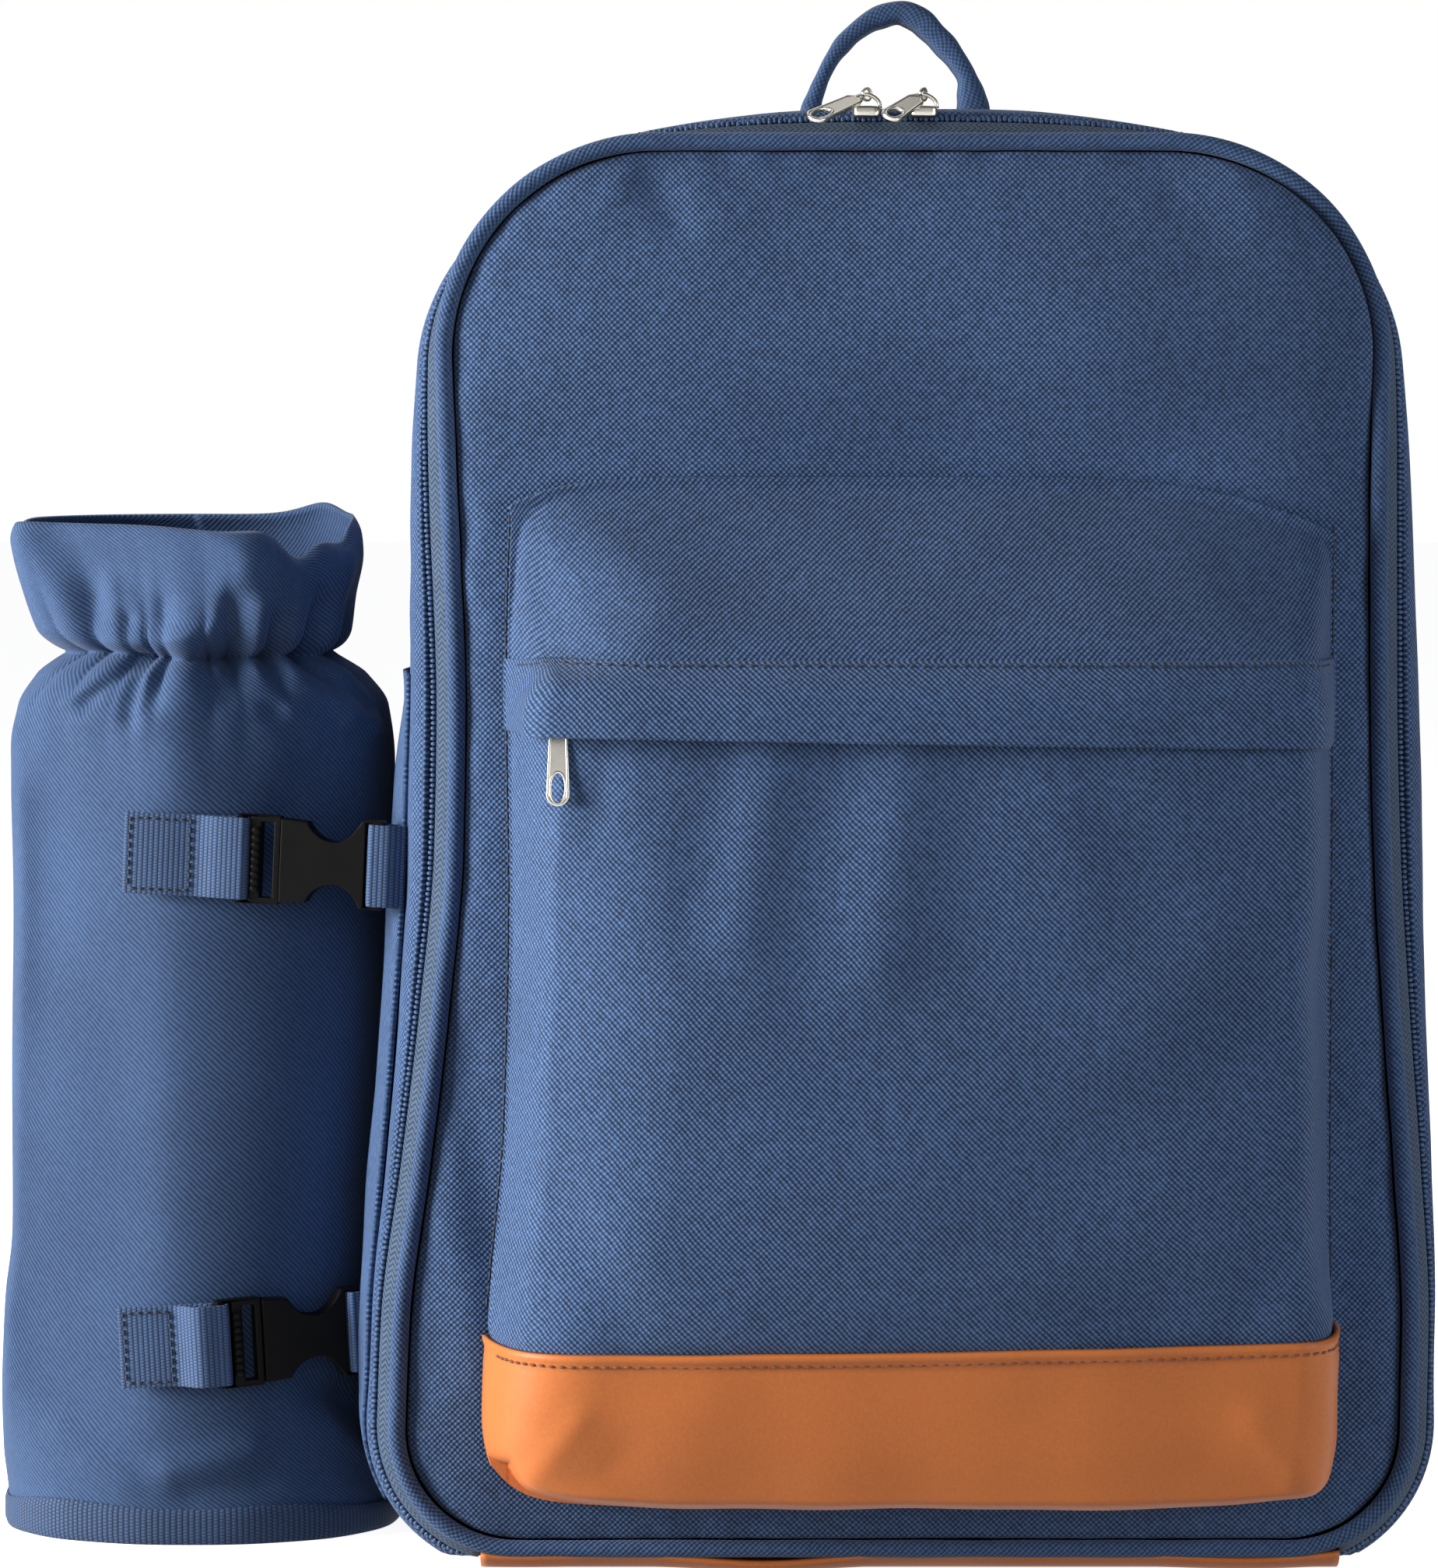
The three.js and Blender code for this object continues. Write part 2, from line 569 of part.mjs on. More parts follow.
// Bottle carrier: a gathered cloth sleeve on a bound round base
function sleevePoint(row, angle, shrink) {
  const bend = (value) => Math.sign(value) * Math.abs(value) ** (2 / SLEEVE_SQUARENESS);
  const [c, s] = [bend(Math.cos(angle)), bend(Math.sin(angle))];
  const waves = Math.sin(10 * angle + 0.7) + 0.55 * Math.sin(14 * angle + 2.2);
  const reach = -shrink + row.gather * 0.6 * (waves - 0.6);
  const halfX = (row.right - row.left) / 2 + reach;
  const halfY = (s < 0 ? -row.front : row.back) + reach;
  return new THREE.Vector3((row.left + row.right) / 2 + halfX * c, halfY * s, row.z);
}

const around = (count) => Array.from({ length: count }, (_, i) => (2 * Math.PI * i) / count);

function sleeve() {
  const rim = SLEEVE.length - 1;
  const sections = around(SLEEVE_SIDES).map((angle) => {
    const lift = 2.2 * Math.cos(angle - 0.6) + 1.4 * Math.cos(3 * (angle - 0.5)) + 1;
    const skin = (shrink) =>
      SLEEVE.map((row, i) => {
        const point = sleevePoint(row, angle, shrink);
        point.z += i === rim ? lift : i === rim - 1 ? lift / 2 : 0;
        return point;
      });
    return wallSection(skin(0), skin(THIN_CLOTH));
  });
  return loft(sections, true);
}

function sleeveBinding() {
  const sections = around(SLEEVE_SIDES).map((angle) => {
    const heights = [0, BINDING_TOP + Math.sin(2 * angle - 0.9)];
    const rows = heights.map((z) => ({ ...SLEEVE[z < 5 ? 0 : 1], z }));
    const skin = (grow) => rows.map((row) => sleevePoint(row, angle, -grow));
    return wallSection(skin(GAP + 1.3), skin(GAP));
  });
  return loft(sections, true);
}

function sleeveFloor() {
  const inside = around(SLEEVE_SIDES).map((angle) => sleevePoint(SLEEVE[0], angle, THIN_CLOTH + 2 * GAP));
  const shape = new THREE.Shape(inside.map((p) => new THREE.Vector2(p.x, p.y)));
  return new THREE.ExtrudeGeometry(shape, { depth: CLOTH, bevelEnabled: false }).translate(0, 0, 0.3);
}

// Webbing and side-release buckles that clip the carrier to the bag
const BUCKLE_HEIGHT = 25.6;
const BUCKLE_THICK = 6;
const FRAME_THICK = 4.4;
const FRAME = { bar: 2.2, slot: 2.1, ridge: 3, window: 3.8, rim: 1.9 };
const FRAME_LENGTH = FRAME.bar + FRAME.slot + FRAME.ridge + FRAME.window + FRAME.rim;

const upright = (shape, thick) =>
  new THREE.ExtrudeGeometry(shape, { depth: thick, bevelEnabled: false, curveSegments: 6 })
    .rotateX(Math.PI / 2)
    .translate(0, thick / 2, 0);

function rectangle(kind, left, right, halfHeight) {
  return new kind([
    new THREE.Vector2(left, -halfHeight),
    new THREE.Vector2(right, -halfHeight),
    new THREE.Vector2(right, halfHeight),
    new THREE.Vector2(left, halfHeight),
  ]);
}

// Plug half: two bars, a webbing slot and a window
function buckleFrame() {
  const shape = rectangle(THREE.Shape, 0, FRAME_LENGTH, BUCKLE_HEIGHT / 2);
  const slotLeft = FRAME.bar;
  const windowLeft = FRAME.bar + FRAME.slot + FRAME.ridge;
  shape.holes.push(rectangle(THREE.Path, slotLeft, slotLeft + FRAME.slot, WEBBING_WIDTH / 2 + 0.3));
  shape.holes.push(rectangle(THREE.Path, windowLeft, windowLeft + FRAME.window, BUCKLE_HEIGHT / 2 - 2));
  return upright(shape, FRAME_THICK);
}

// Socket half: a waisted body with a bar for the bag's webbing
const BODY = { left: FRAME_LENGTH + GAP, shoulder: 21, waist: 29.5, waistHalf: 6.2, flare: 37, right: 43 };
const BODY_SLOT = { left: 38, right: 40.1 };

function buckleBody() {
  const half = BUCKLE_HEIGHT / 2;
  const shape = new THREE.Shape();
  shape.moveTo(BODY.left, -half + 0.6);
  shape.lineTo(BODY.shoulder, -half + 1.2);
  shape.quadraticCurveTo(BODY.shoulder + 2.4, -BODY.waistHalf, BODY.waist, -BODY.waistHalf);
  shape.quadraticCurveTo(BODY.waist + 4, -BODY.waistHalf, BODY.flare, -half);
  shape.lineTo(BODY.right, -half);
  shape.lineTo(BODY.right, half);
  shape.lineTo(BODY.flare, half);
  shape.quadraticCurveTo(BODY.waist + 4, BODY.waistHalf, BODY.waist, BODY.waistHalf);
  shape.quadraticCurveTo(BODY.shoulder + 2.4, BODY.waistHalf, BODY.shoulder, half - 1.2);
  shape.lineTo(BODY.left, half - 0.6);
  shape.holes.push(rectangle(THREE.Path, BODY_SLOT.left, BODY_SLOT.right, WEBBING_WIDTH / 2 + 0.3));
  return upright(shape, BUCKLE_THICK);
}

const CLIPS = [
  { name: "upper", z: 200.4, patch: -225.5, sewn: -205.5, buckle: -192.5, yaw: -9, lean: -2.5, tail: 49.3 },
  { name: "lower", z: 59.5, patch: -227.5, sewn: -211.5, buckle: -198.9, yaw: 20, lean: 3, tail: 44.7 },
];

function addClip({ name, z, patch, sewn, buckle, yaw, lean, tail }) {
  const skin = {};
  for (const column of ["left", "right", "front"]) skin[column] = along(SLEEVE, "z", z, column);
  const middle = (skin.left + skin.right) / 2;
  const surfaceY = (x, clear) => {
    const share = Math.abs((x - middle) / ((skin.right - skin.left) / 2)) ** SLEEVE_SQUARENESS;
    return skin.front * (1 - share) ** (1 / SLEEVE_SQUARENESS) - clear;
  };
  const buckleY = surfaceY(buckle, 5.4);
  const low = -WEBBING_WIDTH / 2;

  // The whole clip leans a little seen from the front, and the buckle turns towards the bag
  const strap = new THREE.Group();
  strap.position.set(buckle, 0, z);
  strap.rotation.y = THREE.MathUtils.degToRad(-lean);
  bag.add(strap);
  const turned = new THREE.Group();
  turned.position.set(0, buckleY, 0);
  turned.rotation.z = THREE.MathUtils.degToRad(yaw);
  strap.add(turned);
  add(`${name}_buckle_frame`, buckleFrame(), BLACK_PLASTIC, turned);
  add(`${name}_buckle_body`, buckleBody(), BLACK_PLASTIC, turned);

  // Webbing sewn to the sleeve: along the cloth, over the frame's first bar, down its slot and back
  const clear = 2 * GAP + WEBBING / 2;
  const onSleeve = [0, 0.35, 0.7, 1].map((share) => {
    const x = THREE.MathUtils.lerp(patch, sewn, share);
    return new THREE.Vector2(x - buckle, surfaceY(x, clear));
  });
  const over = onSleeve.map((p) => new THREE.Vector2(p.x, p.y - GAP - WEBBING));
  const under = onSleeve.slice(2).reverse();
  const turn = new THREE.Vector2();
  const bySocket = (x, y) => {
    const point = new THREE.Vector2(x, y).rotateAround(turn, turned.rotation.z);
    return point.add(new THREE.Vector2(0, buckleY));
  };
  const barFace = FRAME_THICK / 2 + GAP + WEBBING / 2;
  const slotX = FRAME.bar + FRAME.slot / 2;
  const path = [
    ...over,
    bySocket(-5, -barFace + 0.5),
    bySocket(-0.6, -barFace),
    bySocket(slotX, -barFace),
    bySocket(slotX, barFace),
    bySocket(-0.6, barFace),
    new THREE.Vector2(-6.5, under[0].y),
    ...under.slice(1),
  ];
  add(`${name}_webbing_tab`, ribbon(path, WEBBING, low, WEBBING_WIDTH), NAVY_WEBBING, strap);

  // Webbing sewn to the bag: round the end bar of the socket and back to the side wall
  const slotMiddle = (BODY_SLOT.left + BODY_SLOT.right) / 2;
  const endFace = BUCKLE_THICK / 2 + GAP + WEBBING / 2;
  const tailPath = [
    [tail, -1.2],
    [BODY.right + 1, -endFace],
    [slotMiddle, -endFace],
    [slotMiddle, endFace],
    [BODY.right, endFace],
    [tail - 0.5, endFace - 1],
  ].map(([x, y]) => new THREE.Vector2(x, y));
  add(`${name}_side_webbing`, ribbon(tailPath, WEBBING, low, WEBBING_WIDTH), NAVY_WEBBING, turned);
}

// Carry handle: a rolled and twisted cloth strip in a pointed arch by the back seam
const HANDLE_Y = 62;
const HANDLE = [
  { x: -26.6, z: 413.6, thick: 7, deep: 17 },
  { x: -25.8, z: 422.5, thick: 6.4, deep: 17 },
  { x: -24.3, z: 427.3, thick: 5, deep: 17 },
  { x: -22.4, z: 432, thick: 4.4, deep: 17 },
  { x: -20, z: 436.8, thick: 4.6, deep: 16 },
  { x: -16.7, z: 441.6, thick: 5.2, deep: 15 },
  { x: -11.9, z: 446.3, thick: 5.8, deep: 14 },
  { x: -5.6, z: 450.2, thick: 6.6, deep: 13 },
  { x: 1, z: 451.8, thick: 7.4, deep: 13 },
  { x: 6.8, z: 449.8, thick: 7.6, deep: 14 },
  { x: 11, z: 446, thick: 7.6, deep: 15 },
  { x: 15.6, z: 441.2, thick: 7, deep: 16 },
  { x: 19, z: 436.8, thick: 6, deep: 17 },
  { x: 21.8, z: 432, thick: 6, deep: 17 },
  { x: 23, z: 427, thick: 8.4, deep: 17 },
  { x: 23.7, z: 422.5, thick: 10, deep: 17 },
  { x: 24, z: 413.6, thick: 10.4, deep: 17 },
];

function ovalSection(centre, across, deep, thick, wide, sides) {
  return around(sides).map((angle) => {
    const point = centre.clone().addScaledVector(across, (thick / 2) * Math.cos(angle));
    return point.addScaledVector(deep, (wide / 2) * Math.sin(angle));
  });
}

function carryHandle() {
  const points = HANDLE.map((row) => new THREE.Vector3(row.x, HANDLE_Y, row.z));
  const sideways = new THREE.Vector3(0, 1, 0);
  const sections = points.map((point, i) => {
    const before = points[Math.max(i - 1, 0)];
    const after = points[Math.min(i + 1, points.length - 1)];
    const run = after.clone().sub(before).normalize();
    const out = i % (points.length - 1) ? sideways.clone().cross(run) : new THREE.Vector3(1, 0, 0);
    const mirrored = out.z < 0 ? out.negate() : out;
    return ovalSection(point, mirrored, sideways, HANDLE[i].thick, HANDLE[i].deep, 8);
  });
  return loft(sections);
}

// Shoulder straps: padded band, lower webbing and leather anchor, one of each a side
const STRAP_PATH = [
  { x: 36, y: 92.3, z: 398, wide: 52, thick: 7 },
  { x: 37, y: 99, z: 384, wide: 54, thick: 8 },
  { x: 41, y: 112, z: 350, wide: 56, thick: 9 },
  { x: 50, y: 122, z: 300, wide: 58, thick: 9 },
  { x: 62, y: 124, z: 245, wide: 56, thick: 9 },
  { x: 75, y: 117, z: 195, wide: 50, thick: 8 },
  { x: 84, y: 107, z: 160, wide: 40, thick: 6 },
];
const TAIL_PATH = [
  { x: 82, y: 103.8, z: 172 },
  { x: 85.5, y: 102.4, z: 154 },
  { x: 97, y: 100.5, z: 115 },
  { x: 113, y: 96, z: 75 },
  { x: 128, y: 93.4, z: 46 },
];

function bandAlong(path, side, widthOf, thickOf, sides) {
  const points = path.map((row) => new THREE.Vector3(row.x * side, row.y, row.z));
  const sections = points.map((point, i) => {
    const before = points[Math.max(i - 1, 0)];
    const after = points[Math.min(i + 1, points.length - 1)];
    const run = after.clone().sub(before).normalize();
    const across = new THREE.Vector3(0, 1, 0).cross(run).normalize();
    const out = run.clone().cross(across).normalize();
    return ovalSection(point, out, across, thickOf(path[i]), widthOf(path[i]), sides);
  });
  return loft(sections);
}

function addShoulderStraps() {
  for (const [name, side] of [["left", -1], ["right", 1]]) {
    const pad = bandAlong(STRAP_PATH, side, (row) => row.wide, (row) => row.thick, 10);
    add(`shoulder_strap_${name}`, pad, NAVY_CLOTH);
    add(`strap_webbing_${name}`, bandAlong(TAIL_PATH, side, level(25), level(2), 6), NAVY_WEBBING);
    const tab = new THREE.Shape([
      new THREE.Vector2(112 * side, 22),
      new THREE.Vector2(162 * side, 20),
      new THREE.Vector2(163 * side, 34),
      new THREE.Vector2(138 * side, 54),
    ]);
    const anchor = new THREE.ExtrudeGeometry(tab, { depth: 2.6, bevelEnabled: false })
      .rotateX(Math.PI / 2)
      .translate(0, 91.5, 0);
    add(`strap_anchor_${name}`, anchor, TAN_LEATHER);
  }
}

add("front_panel", frontPanel(), NAVY_CLOTH);
add("front_piping", piping(), NAVY_CLOTH);
add("zip_tape", zipTape(), NAVY_TAPE);
add("zip_chain", zipChain(), NAVY_TAPE);
add("side_wall", sideWall(), NAVY_CLOTH);
add("back_panel", backPanel(), NAVY_CLOTH);
add("base_leather", leatherBase(), TAN_LEATHER);
add("side_pocket", sidePocket(), NAVY_CLOTH);
addPocket();
addMainZipHardware();
addPocketZipHardware();
add("bottle_sleeve", sleeve(), NAVY_CLOTH);
add("bottle_binding", sleeveBinding(), NAVY_WEBBING);
add("bottle_floor", sleeveFloor(), NAVY_CLOTH);
CLIPS.forEach(addClip);
add("carry_handle", carryHandle(), NAVY_CLOTH);
addShoulderStraps();

export default bag;
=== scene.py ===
"""Looks of a picnic backpack with a clip-on bottle carrier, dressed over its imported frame.

Lengths are in millimetres until a mesh is made. +Z is up and the front faces -Y.
"""

import math

import bmesh
import bpy
import numpy as np
from mathutils import Matrix, Vector


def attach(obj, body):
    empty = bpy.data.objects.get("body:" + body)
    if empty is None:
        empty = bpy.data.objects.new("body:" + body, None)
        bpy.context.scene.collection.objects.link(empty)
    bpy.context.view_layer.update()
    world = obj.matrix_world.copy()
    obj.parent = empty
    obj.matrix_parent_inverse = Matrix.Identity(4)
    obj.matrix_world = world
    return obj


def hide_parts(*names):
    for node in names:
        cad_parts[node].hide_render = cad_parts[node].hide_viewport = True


MM = 0.001
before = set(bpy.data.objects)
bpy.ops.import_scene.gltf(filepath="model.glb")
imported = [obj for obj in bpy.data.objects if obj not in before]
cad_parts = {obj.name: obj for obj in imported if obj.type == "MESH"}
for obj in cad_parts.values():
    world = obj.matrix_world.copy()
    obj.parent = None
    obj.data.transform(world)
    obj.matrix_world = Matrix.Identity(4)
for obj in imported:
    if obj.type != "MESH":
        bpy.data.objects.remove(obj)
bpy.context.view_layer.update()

# Directions, and points inside the bag and the bottle carrier and under the carrier
AHEAD, DEEP, UP = (0.0, -1.0, 0.0), (0.0, 1.0, 0.0), (0.0, 0.0, 1.0)
BAG_MIDDLE, BOTTLE_MIDDLE, UNDER_BOTTLE = (0, 0, 200), (-207, 0, 140), (-207, 0, -50)

# Body sizes
SEAM_BOTTOM, SEAM_TOP = 6.7, 403.0
TOP_RADIUS, BOTTOM_RADIUS = 60.0, 34.0
FRONT_Y, BACK_Y = -85.0, 85.0
PIPING_RADIUS = 2.5
BASE_HALF = 121.5
PANEL_BULGE = 8.0
# Front edge of the side wall, rim of the back panel outside the seam, lowest cloth
WALL_FRONT, BACK_RIM, FOOT_Z = -68.6, 8.0, 2.0
# Top corners, where the zip and the wall draw in to the seam
CORNER_X, CORNER_Z, CORNER_SPREAD = 106.0, 392.0, 46.0

# Front seam: height, half width left, half width right
SIDE = np.array([
    (40.7, 145.2, 141.0), (72, 143.8, 141.4), (115, 138.0, 138.8), (159, 132.6, 135.4),
    (204, 128.4, 132.6), (245, 127.6, 131.4), (302, 129.6, 131.0), (343, 131.2, 131.5),
])
# Flare of the side wall: height, share that shows
FLARE = np.array([
    (6, 0.8), (30, 0.55), (60, 0.32), (130, 0.8), (225, 1.4), (290, 1.05), (343, 0.7), (385, 0.8),
    (403, 0.65),
])
# Side wall from the zip to the back: depth, distance outside the front seam
GUSSET = np.array([
    (WALL_FRONT, 9.9), (-64, 11.8), (-52, 13.2), (-30, 13.8), (5, 14), (45, 13.2), (74, 10), (85, 8),
])
# Rolled front edge of the side wall: depth, distance drawn in
ROLLED_EDGE = [(-69.4, 1.08), (-69.0, 0.72)]
# Slip pocket on the left side wall: bottom, top
SLIP_LOW, SLIP_HIGH = 22, 256
# Sole and its front lip: depth, height
SOLE = np.array([
    (-84.6, 4.6), (-83.6, 3.2), (-82, 1.8), (-79.6, 0.7), (-76, 0.1), (-60, 0), (0, 0), (60, 0), (83, 0),
])

# Zip: where the flare starts, place, pitch, half sizes and sideways shift of the coil's beads
ZIP_OUT, COIL_OUT, COIL_Y, COIL_PITCH = 8.0, 7.1, -71.6, 1.47
COIL_BEAD, COIL_SHIFT = (0.68, 1.0, 0.8), 0.14
# Zip tape from the piping to the wall: distance outside the seam, depth
ZIP_TAPE = [
    (1.9, -82.9), (2.9, -81.4), (4.0, -78.9), (5.2, -76.4), (6.1, -74.4), (5.9, -72.6), (5.9, -70.4),
    (6.6, -68), (7.4, -64),
]
TAPE_STEP = 2.3
# Main sliders: places across, depth, height, height of the bail
SLIDERS, SLIDER_Y, SLIDER_Z, BAIL_Z = {"left": -12.5, "right": 3.5}, -72.3, 411.9, 413.0

# Front pocket: height, left seam, right seam, depth, start and slope of the roll inside the left wall
POCKET = np.array([
    (20, -115, 113, 35, 12, 1.1), (45, -120, 117.5, 42, 22, 0.85), (72, -119, 117.5, 47, 25, 0.75),
    (130, -114, 117, 51, 28, 0.68), (195, -112.5, 117, 51, 31, 0.65), (225, -112.8, 117, 51, 38, 0.6),
    (248, -113, 117, 50.5, 39, 0.58), (263, -113, 117, 48, 13, 1.0), (280, -112.6, 117, 46, 4, 0.8),
    (309, -111.5, 117, 46, 0, 0.9),
])
POCKET_LEFT, POCKET_WIDE, POCKET_SKEW = -113, 230, 4.0
HOOD_SLOPE, UNDERSIDE_SLOPE = 0.93, 7.0
HEM_Z, ZIP_LOW, ZIP_HIGH = 70.5, 239.0, 247.0
FLAP_TOP, FLAP_BOTTOM = 259.0, 236.0
POCKET_SLIDER_X = -102.4

# Bottle sleeve: height, left, right, front, back
SLEEVE = np.array([
    (0.3, -265.2, -149.6, -43, 43), (10, -265.6, -151, -43.5, 43), (22, -266.6, -155.5, -44.5, 44),
    (42, -266.8, -157.5, -45, 45), (90, -264, -155.5, -45, 45), (140, -262.8, -152, -45, 45),
    (205, -263.2, -150.4, -45, 45), (228, -262.8, -150.6, -44, 44), (243, -260, -152.4, -42, 42),
    (252, -253.6, -159, -38, 38), (258, -247.8, -165.6, -34.5, 34.5), (265, -253.6, -163.4, -40, 37),
    (275, -258.4, -161.6, -45, 40), (286, -262, -159.4, -46.5, 40), (296, -264, -160.6, -43, 37),
])
SQUARENESS = 2.15
# Flat of the sleeve's front left, body and ruffle: degrees left of the front, distance from the middle
FLAT_TURN, FLAT_OUT = (26.5, 22.0), (43.4, 33.2)
NECK_Z = 258.0
# Columns of the sleeve's cloth, and its rows: first height, last height, count
SLEEVE_SIDES = 300
SLEEVE_ROWS = [(0.3, 214, 76), (216, 246, 22), (247, 270, 34), (271.5, 296, 22)]
# Ups and downs of the ruffle's rim, in degrees round it from the right: middle, width, height
RIM_WAVES = [
    (-72, 22, -2), (-46, 9, -9), (-26, 13, -6), (38, 17, 4), (8, 12, 1), (180, 12, -3), (-180, 12, -3),
]

# Clips: height, sewn edge, end of the sewn patch, buckle's left end, yaw, lean, end of the bag's webbing
CLIPS = {
    "upper": (200.4, -225.5, -205.5, -192.5, -9.0, -2.5, 49.3),
    "lower": (59.5, -227.5, -211.5, -198.9, 20.0, 3.0, 44.7),
}
WEBBING_WIDTH, WEBBING = 23.5, 1.3
BUCKLE_THICK, FRAME_THICK, BUCKLE_CLEAR = 6.0, 4.4, 5.4
# Buckle's gripping bar: place from the buckle's end, share of the height of its ribs
GRIP_BAR = np.array([(4.35, -0.4), (4.5, 0.2), (4.8, 1), (6.8, 1), (7.1, 0.2), (7.25, -0.4)])

# Carry handle: x, height, thickness, depth
HANDLE_Y = 62.0
HANDLE = np.array([
    (-26.6, 413.6, 7, 17), (-25.8, 422.5, 6.4, 17), (-24.3, 427.3, 5, 17), (-22.4, 432, 4.4, 17),
    (-20, 436.8, 4.6, 16), (-16.7, 441.6, 5.2, 15), (-11.9, 446.3, 5.8, 14), (-5.6, 450.2, 6.6, 13),
    (1, 451.8, 7.4, 13), (6.8, 449.8, 7.6, 14), (11, 446, 7.6, 15), (15.6, 441.2, 7, 16),
    (19, 436.8, 6, 17), (21.8, 432, 6, 17), (23, 427, 8.4, 17), (23.7, 422.5, 10, 17), (24, 413.6, 10.4, 17),
])
# Shoulder strap: x, depth, height, width, thickness
STRAP = np.array([
    (36, 92.3, 398, 52, 7), (37, 99, 384, 54, 8), (41, 112, 350, 56, 9), (50, 122, 300, 58, 9),
    (62, 124, 245, 56, 9), (75, 117, 195, 50, 8), (84, 107, 160, 40, 6),
])
# Strap webbing: x, depth, height
STRAP_TAIL = np.array([
    (81.5, 108.5, 170), (84.2, 107, 160), (87, 104, 148), (97, 100.5, 115), (113, 96, 75), (123, 92.8, 54),
    (130, 90.2, 41),
])
# Strap anchor: outline and sewn line, as width and height; depth and thickness
ANCHOR = [(112, 22), (162, 20), (163, 34), (138, 54)]
ANCHOR_SEAM = [(117, 24.5), (159, 23), (160, 33), (138, 50)]
ANCHOR_Y, ANCHOR_THICK = 88.9, 2.6

# A stitch: place along it, thickness and height as shares of its size
STITCH = np.array([
    (-1, 0.35, -0.5), (-0.8, 0.8, -0.05), (-0.3, 1, 0.2), (0.3, 1, 0.2), (0.8, 0.8, -0.05), (1, 0.35, -0.5),
])
STITCH_SIDES, STITCH_SWAY = 6, 0.12

# Photo camera: focal length and picture height in pixels, place in metres, tilt down in degrees
FOCAL_PIXELS, PHOTO_PIXELS, SENSOR = 6881, 2015, 36.0
CAMERA_PLACE, CAMERA_TILT = (-0.054, -1.585, 0.3021), 3
FLOOR_HALF, FLOOR_Z = 40000, -0.05


# Shader maths
def operator(name, swapped=False):
    """Method that puts a maths node after the value and what it is combined with."""

    def combine(self, *others):
        values = (*others, self) if swapped else (self, *others)
        return self.graph.node("ShaderNodeMath", {"operation": name}, dict(enumerate(values)))

    return combine


class Value:
    """A shader socket that takes part in arithmetic."""

    def __init__(self, graph, socket):
        self.graph, self.socket = graph, socket

    __add__ = __radd__ = operator("ADD")
    __mul__ = __rmul__ = operator("MULTIPLY")
    __sub__, __rsub__ = operator("SUBTRACT"), operator("SUBTRACT", swapped=True)
    __truediv__, __pow__, __abs__ = operator("DIVIDE"), operator("POWER"), operator("ABSOLUTE")
    sine, cosine, floor = operator("SINE"), operator("COSINE"), operator("FLOOR")

    def wave(self):
        """0 to 1 and back once per whole step of the value."""
        return abs((self * math.pi).sine())


class Graph:
    """The nodes of a material or a world."""

    def __init__(self, owner):
        owner.use_nodes = True
        self.tree = owner.node_tree

    def put(self, socket, value):
        if isinstance(value, Value):
            self.tree.links.new(value.socket, socket)
        else:
            socket.default_value = value

    def node(self, kind, settings=None, sockets=None, output=0):
        """New node: its settings, then values or links for its sockets."""
        made = self.tree.nodes.new(kind)
        for name, value in (settings or {}).items():
            setattr(made, name, value)
        for name, value in (sockets or {}).items():
            self.put(made.inputs[name], value)
        return Value(self, made.outputs[output])


class Finish(Graph):
    """A material under construction."""

    def __init__(self, name, **sockets):
        self.material = bpy.data.materials.new(name)
        super().__init__(self.material)
        self.feed(**sockets)

    def feed(self, **sockets):
        """Values or links for the shader's sockets."""
        shader = self.tree.nodes["Principled BSDF"]
        for name, value in sockets.items():
            self.put(shader.inputs[name.replace("_", " ")], value)

    def paint(self, share, low, high, **sockets):
        """Feeds a colour from low to high and other sockets, and gives the material."""
        colour = self.node("ShaderNodeMix", {"data_type": "RGBA"}, {0: share, 6: low, 7: high}, 2)
        self.feed(Base_Color=colour, **sockets)
        return self.material

    def cloth_axes(self):
        """Distances along and across the cloth."""
        place = self.node("ShaderNodeUVMap", {"uv_map": "cloth"})
        return [self.node("ShaderNodeSeparateXYZ", None, {0: place}, axis) for axis in ("X", "Y")]

    def object_place(self):
        return self.node("ShaderNodeTexCoord", output=3)

    def noise(self, size, detail=3.0, place=None):
        """Cloudy variation with features of about that size in millimetres."""
        sockets = {"Vector": place or self.object_place(), "Scale": 1 / (size * MM), "Detail": detail}
        return self.node("ShaderNodeTexNoise", None, sockets)

    def relief(self, height, depth, strength, **under):
        """Bump of that depth in millimetres, on top of another Normal if one is given."""
        sockets = {"Height": height, "Distance": depth * MM, "Strength": strength, **under}
        return self.node("ShaderNodeBump", None, sockets)


def shade(colour, factor):
    return (*(min(1.0, part * factor) for part in colour[:3]), 1.0)


NAVY = (0.043, 0.088, 0.195)
TAN = (0.64, 0.182, 0.042)
WEAVE_PITCH, RIB, RIB_THREAD = 0.83, 1.5, 0.9


